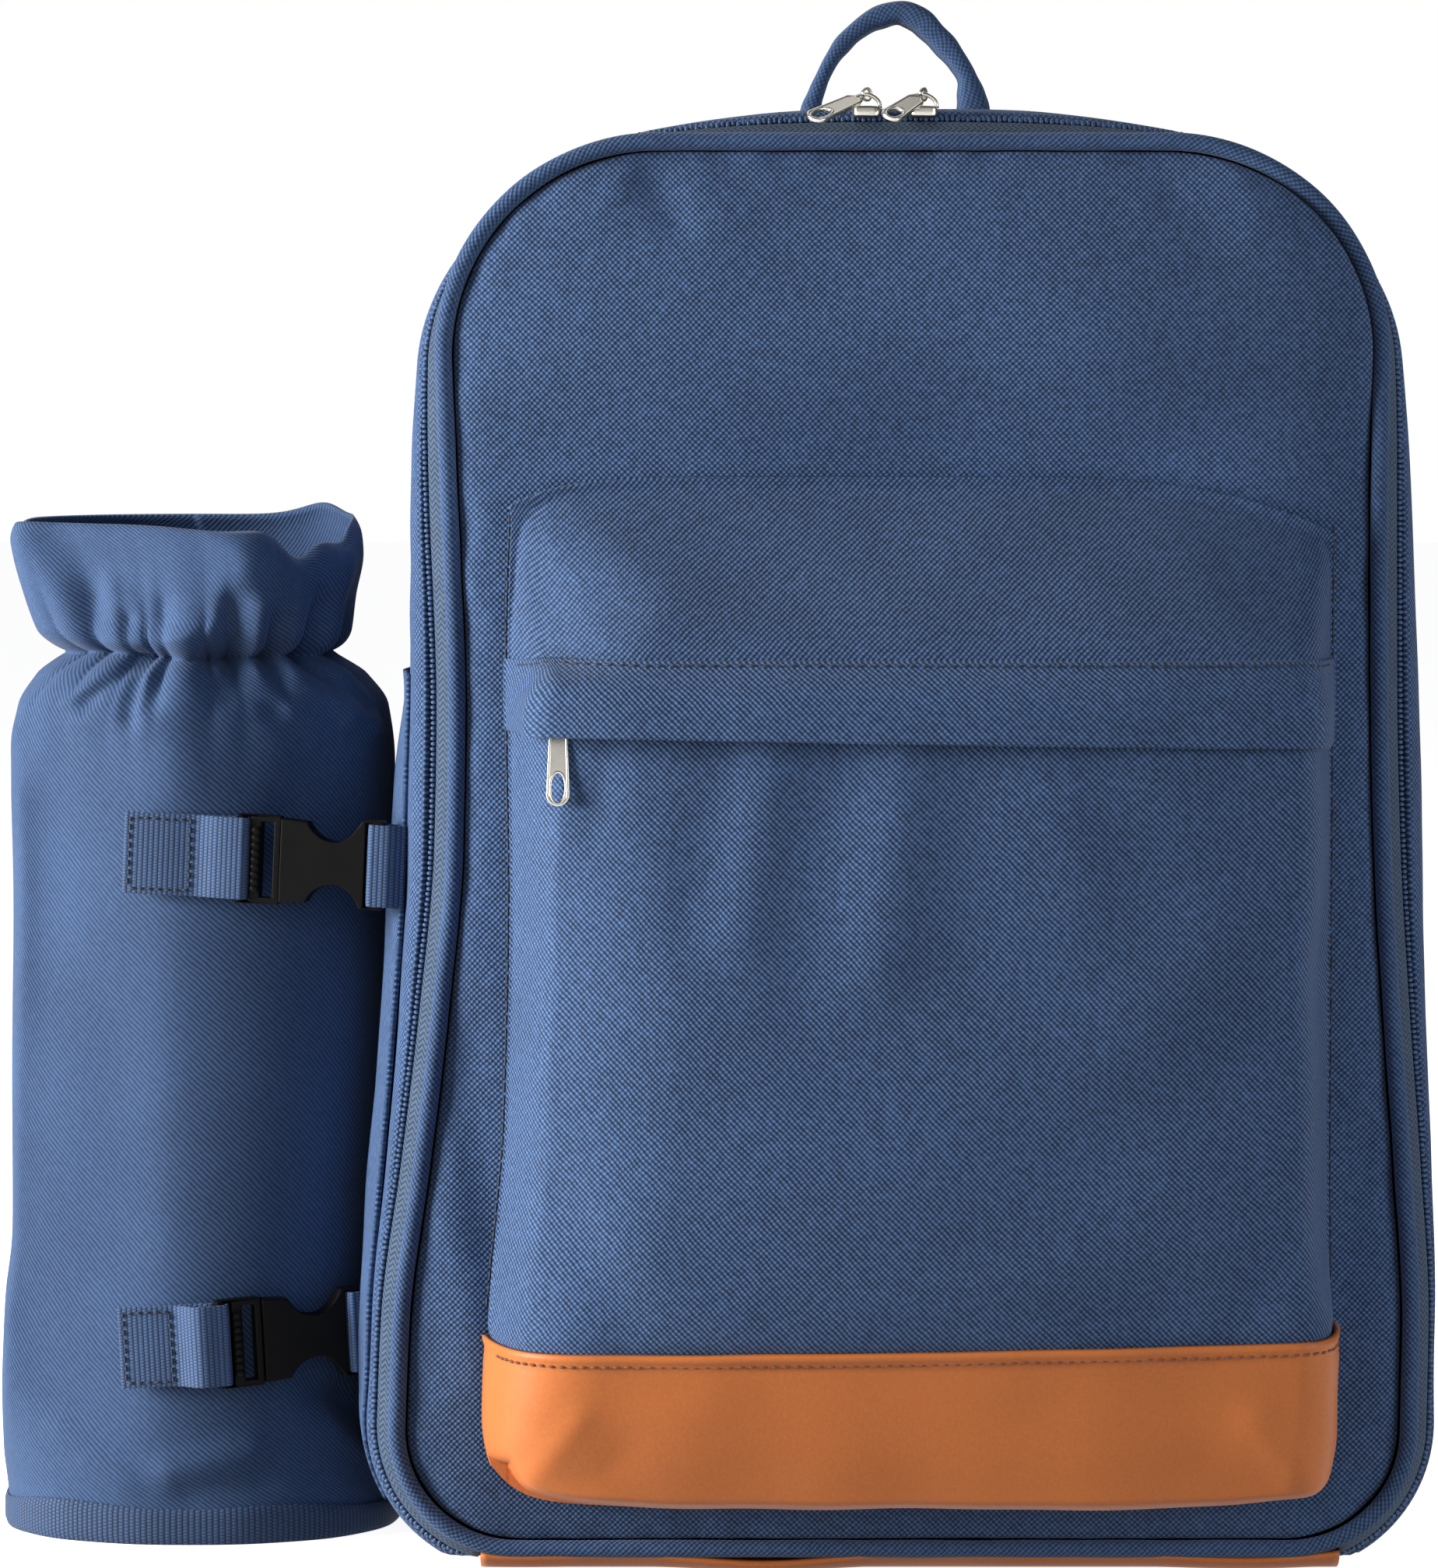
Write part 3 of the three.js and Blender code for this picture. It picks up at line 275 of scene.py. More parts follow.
def canvas(name, contrast=1.0, lean=0.0, colour=NAVY):
    """Plain-weave polyester cloth: light threads on a darker ground, partly their own tone and partly painted
    highlight and shade of the weave's relief; lean paints one diagonal lighter, as painted light raking across
    the threads.
    """
    finish = Finish(name, Sheen_Weight=0.1, Sheen_Roughness=0.5, Specular_IOR_Level=0.22)
    across, up = finish.cloth_axes()
    wander = (finish.noise(8, 2.0) - 0.5) * 6
    warp, weft = across * (math.pi / WEAVE_PITCH) + wander, up * (math.pi / WEAVE_PITCH)
    # lean weights one diagonal of the weave: painted light of the lamps raking across the threads
    weave = (warp - weft).cosine() * (0.5 + lean / 2) - (warp + weft).cosine() * (0.5 - lean / 2)
    slub, cloud = finish.noise(1.7, 2.0), finish.noise(38)
    # threads, lighter on top and darker between: partly the cloth's own tone, partly painted highlight and
    # shade of the relief
    threads = (0.5 + weave * (0.5 * contrast)) ** 2.0
    light = threads + (slub - 0.5) * 0.6 * contrast + (cloud - 0.5) * 0.2
    bump = finish.relief(weave, 0.2 * contrast, 0.8)
    return finish.paint(
        light, shade(colour, 0.32), shade(colour, 2.5), Roughness=0.8 - weave * 0.08, Normal=bump
    )


def ribbed_webbing(name, colour):
    """Webbing woven in ribs across its run, each of short threads."""
    finish = Finish(name, Sheen_Weight=0.1, Specular_IOR_Level=0.3)
    along, across = finish.cloth_axes()
    ribs = along / RIB
    threads = across / RIB_THREAD + ribs.floor() * 0.5
    height = ribs.wave() ** 0.6 * (0.35 + threads.wave() * 0.65)
    light = height * 1.15 + (finish.noise(9) - 0.5) * 0.3
    bump = finish.relief(height, 0.3, 0.7)
    return finish.paint(
        light, shade(colour, 0.12), shade(colour, 1.75), Roughness=0.85 - height * 0.2, Normal=bump
    )


def herringbone_tape(name):
    """Zip tape woven in chevrons, two steps of the tape wide."""
    finish = Finish(name, Roughness=0.8, Specular_IOR_Level=0.25)
    along, across = finish.cloth_axes()
    bend = abs((across / (2 * TAPE_STEP)).floor() * (2 * TAPE_STEP) + TAPE_STEP - across)
    chevrons = ((along + bend * 0.7) / 1.7).wave()
    light = chevrons + (finish.noise(6) - 0.5) * 0.4
    bump = finish.relief(chevrons, 0.12, 0.6)
    return finish.paint(light, (0.004, 0.012, 0.03, 1), (0.068, 0.108, 0.175, 1), Normal=bump)


def coated_leather(name, foot_shade=0.0):
    """Tan leather with a fine pebbled grain and shallow creases; the second argument paints it darker, as
    painted shade for leather at the bag's foot.
    """
    finish = Finish(name, Specular_IOR_Level=0.32)
    place = finish.object_place()
    pebbles = finish.node(
        "ShaderNodeTexVoronoi", {"feature": "SMOOTH_F1"}, {"Vector": place, "Scale": 900, "Smoothness": 0.6}
    )
    pores, cloud = finish.noise(0.7, 4.0, place), finish.noise(45, 4.0, place)
    ridged = {"noise_type": "RIDGED_MULTIFRACTAL"}
    creases = finish.node("ShaderNodeTexNoise", ridged, {"Vector": place, "Scale": 130, "Detail": 3.0})
    # The second argument darkens the whole leather: painted shade at the bag's foot
    light = 0.5 + (cloud - 0.5) * 0.55 + (pores - 0.5) * 0.3 - pebbles * 0.18 - foot_shade * 0.25
    fine = finish.relief(pebbles * -1.0 + pores * 0.5, 0.09, 0.35)
    return finish.paint(
        light, shade(TAN, 0.66), shade(TAN, 1.26),
        Roughness=0.38 + pores * 0.14 + cloud * 0.06, Normal=finish.relief(creases, 0.08, 0.12, Normal=fine),
    )


def moulded_plastic(name):
    """Black buckle plastic with a fine spark-eroded grain."""
    finish = Finish(name, Specular_IOR_Level=0.07)
    scuffs = finish.noise(7, 5.0)
    bump = finish.relief(finish.noise(0.35), 0.04, 0.35)
    low, high = (0.003, 0.003, 0.0033, 1), (0.006, 0.0057, 0.0057, 1)
    return finish.paint(scuffs, low, high, Roughness=0.4 + scuffs * 0.14, Normal=bump)


def nickel_plate(name):
    """Bright cast metal with a faint tarnish."""
    finish = Finish(name, Metallic=1.0)
    tarnish = finish.noise(4, 5.0)
    return finish.paint(tarnish, (0.52, 0.49, 0.43, 1), (0.7, 0.67, 0.6, 1), Roughness=0.22 + tarnish * 0.12)


def twisted_thread(name, colour):
    """Sewing thread, two plies twisted."""
    finish = Finish(name, Roughness=0.62, Sheen_Weight=0.1)
    along, across = finish.cloth_axes()
    plies = ((along + across) / 0.5).wave()
    bump = finish.relief(plies, 0.08, 0.6)
    return finish.paint(plies, shade(colour, 0.55), shade(colour, 1.15), Normal=bump)


def nylon_coil(name):
    """Zip coil: smooth, slightly glossy nylon."""
    finish = Finish(name, Specular_IOR_Level=0.4)
    tint = finish.noise(2.2, 2.0)
    return finish.paint(tint, shade(NAVY, 0.5), shade(NAVY, 1.5), Roughness=0.42 + tint * 0.15)


# Each cloth's lean below paints one diagonal of its weave lighter, as painted light for how the lamps rake
# across that piece
CANVAS = canvas("navy_canvas")
POCKET_CANVAS = canvas("navy_pocket_canvas", lean=-0.4)
# The hood's cloth is painted a tenth darker: painted shade of the upward-facing hood, which the low lamps light
# less
SHADED_HOOD_CANVAS = canvas("navy_hood_canvas_shaded", lean=0.3, colour=shade(NAVY, 0.9))
SLEEVE_CANVAS = canvas("navy_sleeve_canvas", contrast=0.35, lean=-0.8)
BIAS_CANVAS = canvas("navy_piping_canvas", contrast=0.65, lean=0.3)
HANDLE_CANVAS = canvas("navy_handle_canvas", contrast=0.5, colour=shade(NAVY, 0.85))
RIBS = ribbed_webbing("navy_webbing", shade(NAVY, 0.8))
BINDING = ribbed_webbing("navy_binding", shade(NAVY, 0.6))
TAPE = herringbone_tape("navy_zip_tape")
COIL = nylon_coil("navy_zip_coil")
LEATHER = coated_leather("tan_leather")
# The sole's leather is painted darker all over: painted shade at the bag's foot
BASE_LEATHER = coated_leather("tan_base_leather", foot_shade=1.0)
PLASTIC = moulded_plastic("black_plastic")
NICKEL = nickel_plate("nickel_plate")
NAVY_THREAD = twisted_thread("navy_thread", (0.007, 0.013, 0.034))
TAN_THREAD = twisted_thread("tan_thread", (0.2, 0.055, 0.016))


# Lines and surfaces
def bell(distance, width):
    return np.exp(-((distance / width) ** 2))


def ramp(distance, length):
    """0 to 1 over a length."""
    return np.clip(distance / length, 0, 1)


def smooth(share):
    return share * share * (3 - 2 * share)


def spread(*parts):
    """Grid of points from coordinates that fit together."""
    return np.stack(np.broadcast_arrays(*parts), -1)


def in_plane(flat, y=0.0):
    """Widths and heights as points in space, at a depth."""
    return spread(flat[:, 0], y, flat[:, 1])


def unit(vectors):
    return vectors / np.maximum(np.linalg.norm(vectors, axis=-1, keepdims=True), 1e-9)


def run_of(points):
    """Direction of travel along a line of points."""
    return unit(np.gradient(points, axis=0))


def lengths(points, axis):
    """Running length of a grid of points along one of its axes."""
    steps = np.linalg.norm(np.diff(points, axis=axis), axis=2)
    return np.concatenate([np.zeros_like(np.take(steps, [0], axis)), np.cumsum(steps, axis)], axis)


def run_length(line):
    return lengths(line[:, None], 0)[:, 0]


def read_at(places, run, values):
    """Values of a line's points, read at distances along its run."""
    return np.stack([np.interp(places, run, part) for part in values.T], -1)


def finer(values, count):
    """Evenly spaced values between a list's entries."""
    keys = np.arange(len(values))
    return np.interp(np.linspace(0, keys[-1], count), keys, values)


def curve(table, place, column=1):
    """Smooth line through a table's column, without overshoot."""
    keys, values, place = table[:, 0], table[:, column], np.asarray(place, float)
    step = np.diff(keys)
    slope = np.diff(values) / step
    product = slope[:-1] * slope[1:]
    inner = np.where(product > 0, 2 * product / np.where(product > 0, slope[:-1] + slope[1:], 1), 0)
    tangent = np.concatenate([slope[:1], inner, slope[-1:]])
    i = np.clip(np.searchsorted(keys, place) - 1, 0, len(step) - 1)
    t = np.clip((place - keys[i]) / step[i], 0, 1)
    low = values[i] * (1 + 2 * t) * (1 - t) ** 2 + tangent[i] * step[i] * t * (1 - t) ** 2
    return low + values[i + 1] * t * t * (3 - 2 * t) + tangent[i + 1] * step[i] * t * t * (t - 1)


def through(points, count):
    """Evenly spaced points on a smooth line through the given ones."""
    points = np.asarray(points, float)
    run = run_length(points[:, :3])
    places = np.linspace(0, run[-1], count)
    return np.stack([curve(np.stack([run, part], 1), places) for part in points.T], 1)


def closed_path(corners, count):
    """Points along the sides of an outline, back to its first corner."""
    sides = zip(corners, corners[1:] + corners[:1])
    return np.concatenate([np.linspace(a, b, count) for a, b in sides])


def ripple(u, v, size, seed):
    """Smooth unevenness between about -1 and 1."""
    waves = np.random.default_rng(seed)
    whole = 2 * math.pi
    total = 0
    for _ in range(9):
        angle, phase, scale = waves.uniform(0, whole), waves.uniform(0, whole), waves.uniform(0.7, 1.5)
        total = total + np.sin((u * math.cos(angle) + v * math.sin(angle)) * whole * scale / size + phase)
    return total / 4.5


def folds(u, v, table):
    """Ridges and dents along straight lines: start, end, half width, height."""
    total = np.zeros(np.broadcast(u, v).shape)
    for u0, v0, u1, v1, width, height in table:
        run = np.array([u1 - u0, v1 - v0])
        long = np.linalg.norm(run)
        along = ((u - u0) * run[0] + (v - v0) * run[1]) / long
        beside = ((v - v0) * run[0] - (u - u0) * run[1]) / long
        past = np.maximum(0, -along) + np.maximum(0, along - long)
        total += height * bell(beside, width) * bell(past, 1.2 * width)
    return total


# Mesh making
def add_object(data, finish=None):
    """Puts new data into the scene; a mesh gets its finish and smooth faces."""
    if finish:
        data.materials.append(finish)
        data.shade_smooth()
    made = bpy.data.objects.new(data.name, data)
    bpy.context.scene.collection.objects.link(made)
    return made


def add_mesh(name, points, faces, finish, cloth=None):
    mesh = bpy.data.meshes.new(name)
    mesh.from_pydata((np.asarray(points) * MM).tolist(), [], faces)
    if cloth is not None:
        layer = mesh.uv_layers.new(name="cloth")
        layer.data.foreach_set("uv", np.asarray(cloth, np.float32).ravel())
    return add_object(mesh, finish)


def add_shape(name, shape, finish):
    """Puts a finished bmesh into the scene."""
    mesh = bpy.data.meshes.new(name)
    shape.to_mesh(mesh)
    shape.free()
    return add_object(mesh, finish)


def add_grid(name, points, cloth, finish, inside=None, ring=False, strip=None):
    """Faces over rows and columns of points, turned away from inside; strip is the rows of each loose piece."""
    rows, columns = points.shape[:2]
    steps = np.arange(rows - 1)
    if strip:
        steps = steps[(steps + 1) % strip > 0]
    i, j = np.meshgrid(steps, np.arange(columns if ring else columns - 1), indexing="ij")
    corners = [(i, j), (i, j + 1), (i + 1, j + 1), (i + 1, j)]
    flat = points.reshape(-1, 3)
    faces = np.stack([a * columns + b % columns for a, b in corners], -1).reshape(-1, 4)
    places = np.stack([cloth[a, b] for a, b in corners], -2).reshape(-1, 4, 2)
    if inside is not None:
        a, b, c, d = (flat[faces[:, k]] for k in range(4))
        facing = np.einsum("ij,ij->", np.cross(c - a, d - b), (a + c) / 2 - np.asarray(inside))
        if facing < 0:
            faces, places = faces[:, ::-1], places[:, ::-1]
    return add_mesh(name, flat, faces.tolist(), finish, places)


def dress(made, slot, *nodes, body="bag"):
    """Fixes a piece to a body, in the place of the frame's nodes."""
    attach(made, body)
    if nodes:
        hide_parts(*nodes)


def add_cloth(name, points, cloth, finish, thick, slot, *nodes, inside=BAG_MIDDLE, ring=False):
    """Dressed cloth over a grid of points, with its thickness inwards."""
    made = add_grid(name, points, cloth, finish, inside, ring)
    solid = made.modifiers.new("wall", "SOLIDIFY")
    solid.thickness, solid.offset = thick * MM, -1
    dress(made, slot, *nodes)
    return made


def close_tube(made, ring):
    """Welds the ends of a tube together or caps them, and turns its faces out."""
    shape = bmesh.new()
    shape.from_mesh(made.data)
    if ring:
        bmesh.ops.remove_doubles(shape, verts=shape.verts, dist=1e-7)
    else:
        bmesh.ops.holes_fill(shape, edges=[e for e in shape.edges if e.is_boundary])
    bmesh.ops.recalc_face_normals(shape, faces=shape.faces)
    shape.to_mesh(made.data)
    shape.free()


def add_tube(name, centres, across, deep, thick, wide, finish, sides, square=2.0, ring=False):
    """Rounded band along a line, with a size for each point along two directions."""
    angles = np.linspace(0, 2 * math.pi, sides, endpoint=False)
    points = centres[:, None]
    for way, size, wave in ((across, thick, np.cos(angles)), (deep, wide, np.sin(angles))):
        bend = np.sign(wave) * np.abs(wave) ** (2 / square)
        way, size = np.broadcast_to(way, centres.shape), np.broadcast_to(size, len(centres))
        points = points + way[:, None] * (bend * size[:, None] / 2)[..., None]
    if ring:
        points = np.concatenate([points, points[:1]])
    run = lengths(points.mean(1, keepdims=True), 0)
    round_it = lengths(np.concatenate([points, points[:, :1]], 1), 1)
    made = add_grid(name, points, spread(run, round_it), finish, ring=True)
    close_tube(made, ring)
    return made


def stitch_line(name, path, lift, finish, slot, pitch, long, thick):
    """Row of sewn stitches along a path; lift points away from the cloth."""
    path = np.asarray(path, float)
    run = run_length(path)
    starts = np.arange(pitch / 2, run[-1] - pitch / 2, pitch)
    share, size, height = STITCH.T * np.array([long / 2, thick / 2, thick])[:, None]
    places = starts[:, None] + share
    line = read_at(places, run, path)
    out = unit(read_at(starts, run, np.broadcast_to(lift, path.shape)))
    beside = np.cross(unit(line[:, -1] - line[:, 0]), out)
    sway = np.random.default_rng(len(path)).uniform(-STITCH_SWAY, STITCH_SWAY, len(starts))
    turn = 2 * math.pi * np.arange(STITCH_SIDES) / STITCH_SIDES
    rise = height[:, None] + size[:, None] * np.sin(turn)
    aside = sway[:, None, None] + size[:, None] * np.cos(turn)
    points = line[:, :, None] + out[:, None, None] * rise[..., None]
    points = points + beside[:, None, None] * aside[..., None]
    cloth = spread(places.reshape(-1, 1), np.arange(STITCH_SIDES + 1) * 0.3)
    rings = points.reshape(-1, STITCH_SIDES, 3)
    dress(add_grid(name, rings, cloth, finish, ring=True, strip=len(STITCH)), slot)


# Front seam
def seam_half(column):
    """Half of the seam from the bottom arc's start to the top arc's end, as width and height."""

    def arc(row, radius, degrees):
        turn = np.radians(degrees)
        return np.stack([row[column] + radius * (np.cos(turn) - 1), row[0] + radius * np.sin(turn)], 1)

    start = arc(SIDE[0], BOTTOM_RADIUS, np.linspace(-90, 0, 28))
    heights = np.linspace(SIDE[0, 0], SIDE[-1, 0], 72)[1:-1]
    middle = np.stack([curve(SIDE, heights, column), heights], 1)
    return np.concatenate([start, middle, arc(SIDE[-1], TOP_RADIUS, np.linspace(0, 90, 40))])


def straight(start, end, step=5.0):
    count = int(np.linalg.norm(np.subtract(end, start)) / step)
    return np.linspace(start, end, count + 2)[1:-1]


def outward(line):
    run = unit(np.roll(line, -1, 0) - np.roll(line, 1, 0))
    return np.stack([run[:, 1], -run[:, 0]], 1)


LEFT_HALF = seam_half(1) * (-1, 1)
RIGHT_HALF = seam_half(2)
SEAM = np.concatenate([
    RIGHT_HALF, straight(RIGHT_HALF[-1], LEFT_HALF[-1]), LEFT_HALF[::-1],
    straight(LEFT_HALF[0], RIGHT_HALF[0]),
])
SEAM_OUT = outward(SEAM)
HAS_ZIP = (np.abs(SEAM[:, 0]) > BASE_HALF - 2) | (SEAM[:, 1] > 60)
ZIP, ZIP_WAY = SEAM[HAS_ZIP], SEAM_OUT[HAS_ZIP]


def reach(seam, out):
    """Distance from the seam to the zip or the side wall."""
    away = np.hypot(np.abs(seam[:, 0]) - CORNER_X, seam[:, 1] - CORNER_Z)
    flared = np.maximum(0, out - ZIP_OUT) * curve(FLARE, seam[:, 1])
    return (np.minimum(out, ZIP_OUT) + flared) * (1 - bell(away, CORNER_SPREAD))


def beside_seam(seam, normal, distance, y, floor=FOOT_Z):
    x, z = (seam + normal * distance[:, None]).T
    return spread(x, y, np.maximum(floor, z))


def seam_halves():
    """Left and right half of the seam, each with its outward directions."""
    for half, side in ((LEFT_HALF, -1), (RIGHT_HALF, 1)):
        out = outward(half) * side
        out[0], out[-1] = (0, -1), (0, 1)
        yield half, out


def between_edges(left, right, shares):
    """Widths and heights between two edges, and the distances from the sides and from the ends."""
    x, z = np.moveaxis(left[:, None] + (right - left)[:, None] * shares[:, None], -1, 0)
    return x, z, np.minimum(x - left[:, :1], right[:, :1] - x), np.minimum(z - z.min(), z.max() - z)


def panel_face(x, z):
    high = np.sin(math.pi * (z - SEAM_BOTTOM) / (SEAM_TOP - SEAM_BOTTOM))
    swell = np.maximum(0, 1 - (x / 150) ** 2) * np.maximum(0, high) ** 0.7
    return FRONT_Y - 1 - PANEL_BULGE * swell


# Soft dents of the front panel: start, end, half width, height
PANEL_FOLDS = [
    (-74, 394, -66, 380, 5, -1.6), (-88, 384, -76, 398, 5, 0.8), (70, 394, 82, 376, 9, -0.9),
    (-126, 150, -118, 96, 9, -1.5), (-130, 110, -122, 60, 7, 1.2), (-124, 330, -120, 270, 8, 0.8),
    (126, 120, 122, 50, 8, -1.2), (-60, 16, 70, 15, 5, -0.8), (124, 340, 122, 260, 7, -0.8),
    (-30, 372, 10, 330, 26, -0.9), (50, 350, 90, 318, 22, 0.9), (-90, 350, -60, 320, 20, 0.7),
]


def front_panel():
    left, right = (half - out * (PIPING_RADIUS + 0.3) for half, out in seam_halves())
    shares = 0.5 - 0.5 * np.cos(np.linspace(0.12, math.pi - 0.12, 110))
    shares = (shares - shares[0]) / (shares[-1] - shares[0])
    x, z, from_side, from_end = between_edges(left, right, shares)
    inner = np.minimum(from_side, from_end + 1)
    pucker = 0.55 * ripple(x, z, 17, 3) * np.exp(-inner / 9)
    relief = folds(x, z, PANEL_FOLDS) + 0.35 * ripple(x, z, 90, 4) + pucker
    crown = 9 * smooth(ramp(z - 311, 40)) * np.maximum(0, 1 - ((x - 25) / 154) ** 2)
    crown = crown * (1 - np.exp(-np.maximum(0, 398 - z) / 16))
    tuck = 4 * np.exp(-inner / 10) + 1.8 * np.exp(-inner / 1.2)
    points = spread(x, panel_face(x, z) - crown - relief + tuck, z)
    add_cloth("front_panel_cloth", points, spread(x, z), CANVAS, 2, "navy_canvas", "front_panel")


def piping():
    centres, out = in_plane(SEAM, FRONT_Y + 1.8), in_plane(SEAM_OUT)
    uneven = 2 * PIPING_RADIUS * (1 + 0.03 * ripple(SEAM[:, 0], SEAM[:, 1], 30, 8))
    made = add_tube("front_piping_cord", centres, out, AHEAD, uneven, uneven, BIAS_CANVAS, 14, ring=True)
    dress(made, "navy_canvas", "front_piping")


def zip_tape():
    points = np.stack([beside_seam(ZIP, ZIP_WAY, reach(ZIP, out), y, 2.6) for out, y in ZIP_TAPE], 1)
    cloth = spread(run_length(points[:, 2])[:, None], np.arange(len(ZIP_TAPE)) * TAPE_STEP)
    add_cloth("zip_tape_weave", points, cloth, TAPE, 0.9, "navy_zip", "zip_tape")


def zip_coil():
    """Row of beads, one for each turn of the coil, set to either side by turns."""
    line = beside_seam(ZIP, ZIP_WAY, reach(ZIP, COIL_OUT), COIL_Y, 3.2)
    run = run_length(line)
    places = np.arange(1, run[-1] - 1, COIL_PITCH)
    centres = read_at(places, run, line)
    along = run_of(centres)
    up = unit(in_plane(read_at(places, run, ZIP_WAY) * 0.72, -0.69))
    across = unit(np.cross(along, up))
    bead = bmesh.new()
    bmesh.ops.create_uvsphere(bead, u_segments=8, v_segments=6, radius=1)
    shape = np.array([v.co for v in bead.verts]) * COIL_BEAD
    quads = [[v.index for v in f.verts] for f in bead.faces]
    bead.free()
    shift = np.where(np.arange(len(places)) % 2, COIL_SHIFT, -COIL_SHIFT)
    points = (centres + across * shift[:, None])[:, None] + shape @ np.stack([along, across, up], 1)
    faces = [[i * len(shape) + k for k in quad] for i in range(len(places)) for quad in quads]
    dress(add_mesh("zip_coil_beads", points.reshape(-1, 3), faces, COIL), "navy_zip", "zip_chain")


def side_wall():
    rows = ROLLED_EDGE + [(y, 0) for y in np.linspace(WALL_FRONT, BACK_Y, 44)]
    points = np.stack([
        beside_seam(SEAM, SEAM_OUT, reach(SEAM, curve(GUSSET, y)) - rolled, y) for y, rolled in rows
    ])
    run, y = run_length(SEAM), points[..., 1]
    soft = np.sin(ramp(y + 68, 150) * math.pi)
    dents = ripple(run, y, 75, 11) + ripple(run, y, 33, 12) * 0.35
    points = points + in_plane(SEAM_OUT) * (dents * soft * ramp(points[..., 2] - 10, 40))[..., None]
    closed = np.append(run, run[-1] + np.linalg.norm(SEAM[0] - SEAM[-1]))
    cloth = spread(closed, np.array(rows)[:, :1])
    add_cloth("side_wall_cloth", points, cloth, CANVAS, 2, "navy_canvas", "side_wall", ring=True)


def back_panel():
    edges = [half + out * reach(half, BACK_RIM)[:, None] for half, out in seam_halves()]
    count = min((edge[:, 1] > 6).sum() for edge in edges)
    feet = [(np.interp(FOOT_Z, edge[:60, 1], edge[:60, 0]), FOOT_Z) for edge in edges]
    left, right = (np.concatenate([[foot], edge[-count:]]) for foot, edge in zip(feet, edges))
    x, z, from_side, from_end = between_edges(left, right, np.linspace(0, 1, 90))
    rounded = 2.6 * np.exp(-np.maximum(0, np.minimum(from_side, from_end)) / 3)
    top = SEAM + SEAM_OUT * reach(SEAM, BACK_RIM)[:, None]
    top = top[top[:, 1] > 390]
    top = top[np.argsort(top[:, 0])]
    short = np.maximum(0, np.interp(x, top[:, 0], top[:, 1]) - z.max())
    z = z + short * ramp(z - 350, z.max() - 350) ** 2
    swell = 3 * np.maximum(0, 1 - (x / 152) ** 2) * np.maximum(0, np.sin(math.pi * z / 412))
    y = BACK_Y + 3.3 + swell - rounded + 0.4 * ripple(x, z, 80, 21)
    add_cloth("back_panel_cloth", spread(x, y, z), spread(x, z), CANVAS, 2, "navy_canvas", "back_panel")


def base_leather():
    """Flat sole with a wavy lip that rises to the front piping."""
    x, (y, z) = np.linspace(-BASE_HALF, BASE_HALF, 120), SOLE.T[..., None]
    waves = 0.9 * np.sin(x / 19 + 0.6) + 0.7 * np.sin(x / 11 + 2) + 0.5 * np.sin(x / 37)
    points = spread(x, y, np.maximum(0, z + ramp(-76 - y, 8) * waves))
    add_cloth("base_leather_sole", points, points[..., :2], BASE_LEATHER, 1.4, "tan_leather", "base_leather")


def side_pocket():
    """Slip pocket on the left side wall, with a hemmed top edge."""
    side = LEFT_HALF[(LEFT_HALF[:, 1] > SLIP_LOW) & (LEFT_HALF[:, 1] < SLIP_HIGH)]
    out = -outward(side)
    out[0], out[-1] = out[1], out[-2]
    heights = side[:, 1]
    keys = np.linspace(-58, 58, 46)
    full = smooth(ramp(SLIP_HIGH - 6 - heights, 50) * ramp(heights - SLIP_LOW, 40))
    hem = 0.9 * np.exp(-(((SLIP_HIGH - heights) / 7) ** 4))
    columns = []
    for y in keys:
        ease = max(0.0, math.cos(math.pi * (y + 10) / 108)) ** 0.7
        soft = 1.2 + 1.8 * np.sin(math.pi * (heights - 20) / 270) + hem + 0.7 * ripple(heights, y, 60, 31)
        lift = reach(side, curve(GUSSET, y)) + 0.6 + soft * ease + 2.6 * full * bell(y + 36, 17)
        columns.append(beside_seam(side, out, lift, y, 3))
    cloth = spread(keys, heights[:, None])
    add_cloth("side_pocket_cloth", np.stack(columns, 1), cloth, CANVAS, 1.5, "navy_canvas", "side_pocket")


# Front pocket
def smooth_min(values, radius):
    least = values[0]
    for value in values[1:]:
        h = np.maximum(radius - np.abs(least - value), 0) / radius
        least = np.minimum(least, value) - h * h * radius / 4
    return least


def pocket_top(x):
    return 308.7 - np.where(x < 0, 8, 14) * np.minimum(1.1, np.abs(x) / 114) ** np.where(x < 0, 8, 4)


def pocket_bottom(x):
    return 20.5 + 3.5 * np.minimum(1.2, np.abs(x) / 114) ** 6 + 9 * np.minimum(1, np.abs(x - 2) / 115) ** 26


def hem_height(x):
    return HEM_Z + 2.2 * x / 118


def flap_edge(x):
    return FLAP_BOTTOM + 1.2 - 1.9 * x / 118


def pocket_depth(x, z):
    """Height of the pocket over the panel: steep side walls, then a soft roll towards the middle."""
    left, right, deep, start, slope = (curve(POCKET, z, k) for k in range(1, 6))
    from_left, from_right = x - left, right - x
    crown = 2.4 * (np.maximum(0, 20 - x) / 80) ** 1.5 + 3 * (np.maximum(0, x - 40) / 75) ** 2
    front = smooth_min([deep - crown, (pocket_top(x) - z) * HOOD_SLOPE], 12)
    walls = smooth_min([start + slope * from_left, from_left * 4.6], 14)
    walls = smooth_min([walls, deep - 8 + 0.22 * from_right, from_right * 3.2], 14)
    low = ramp(96 - z, 30)
    rounded = np.minimum(ramp(from_left, 30), ramp(from_right, 17))
    walls = walls * (1 - low) + deep * np.sqrt(1 - (1 - rounded) ** 2) * low
    return smooth_min([front, walls, (z - pocket_bottom(x)) * UNDERSIDE_SLOPE], 11 + 7 * low)


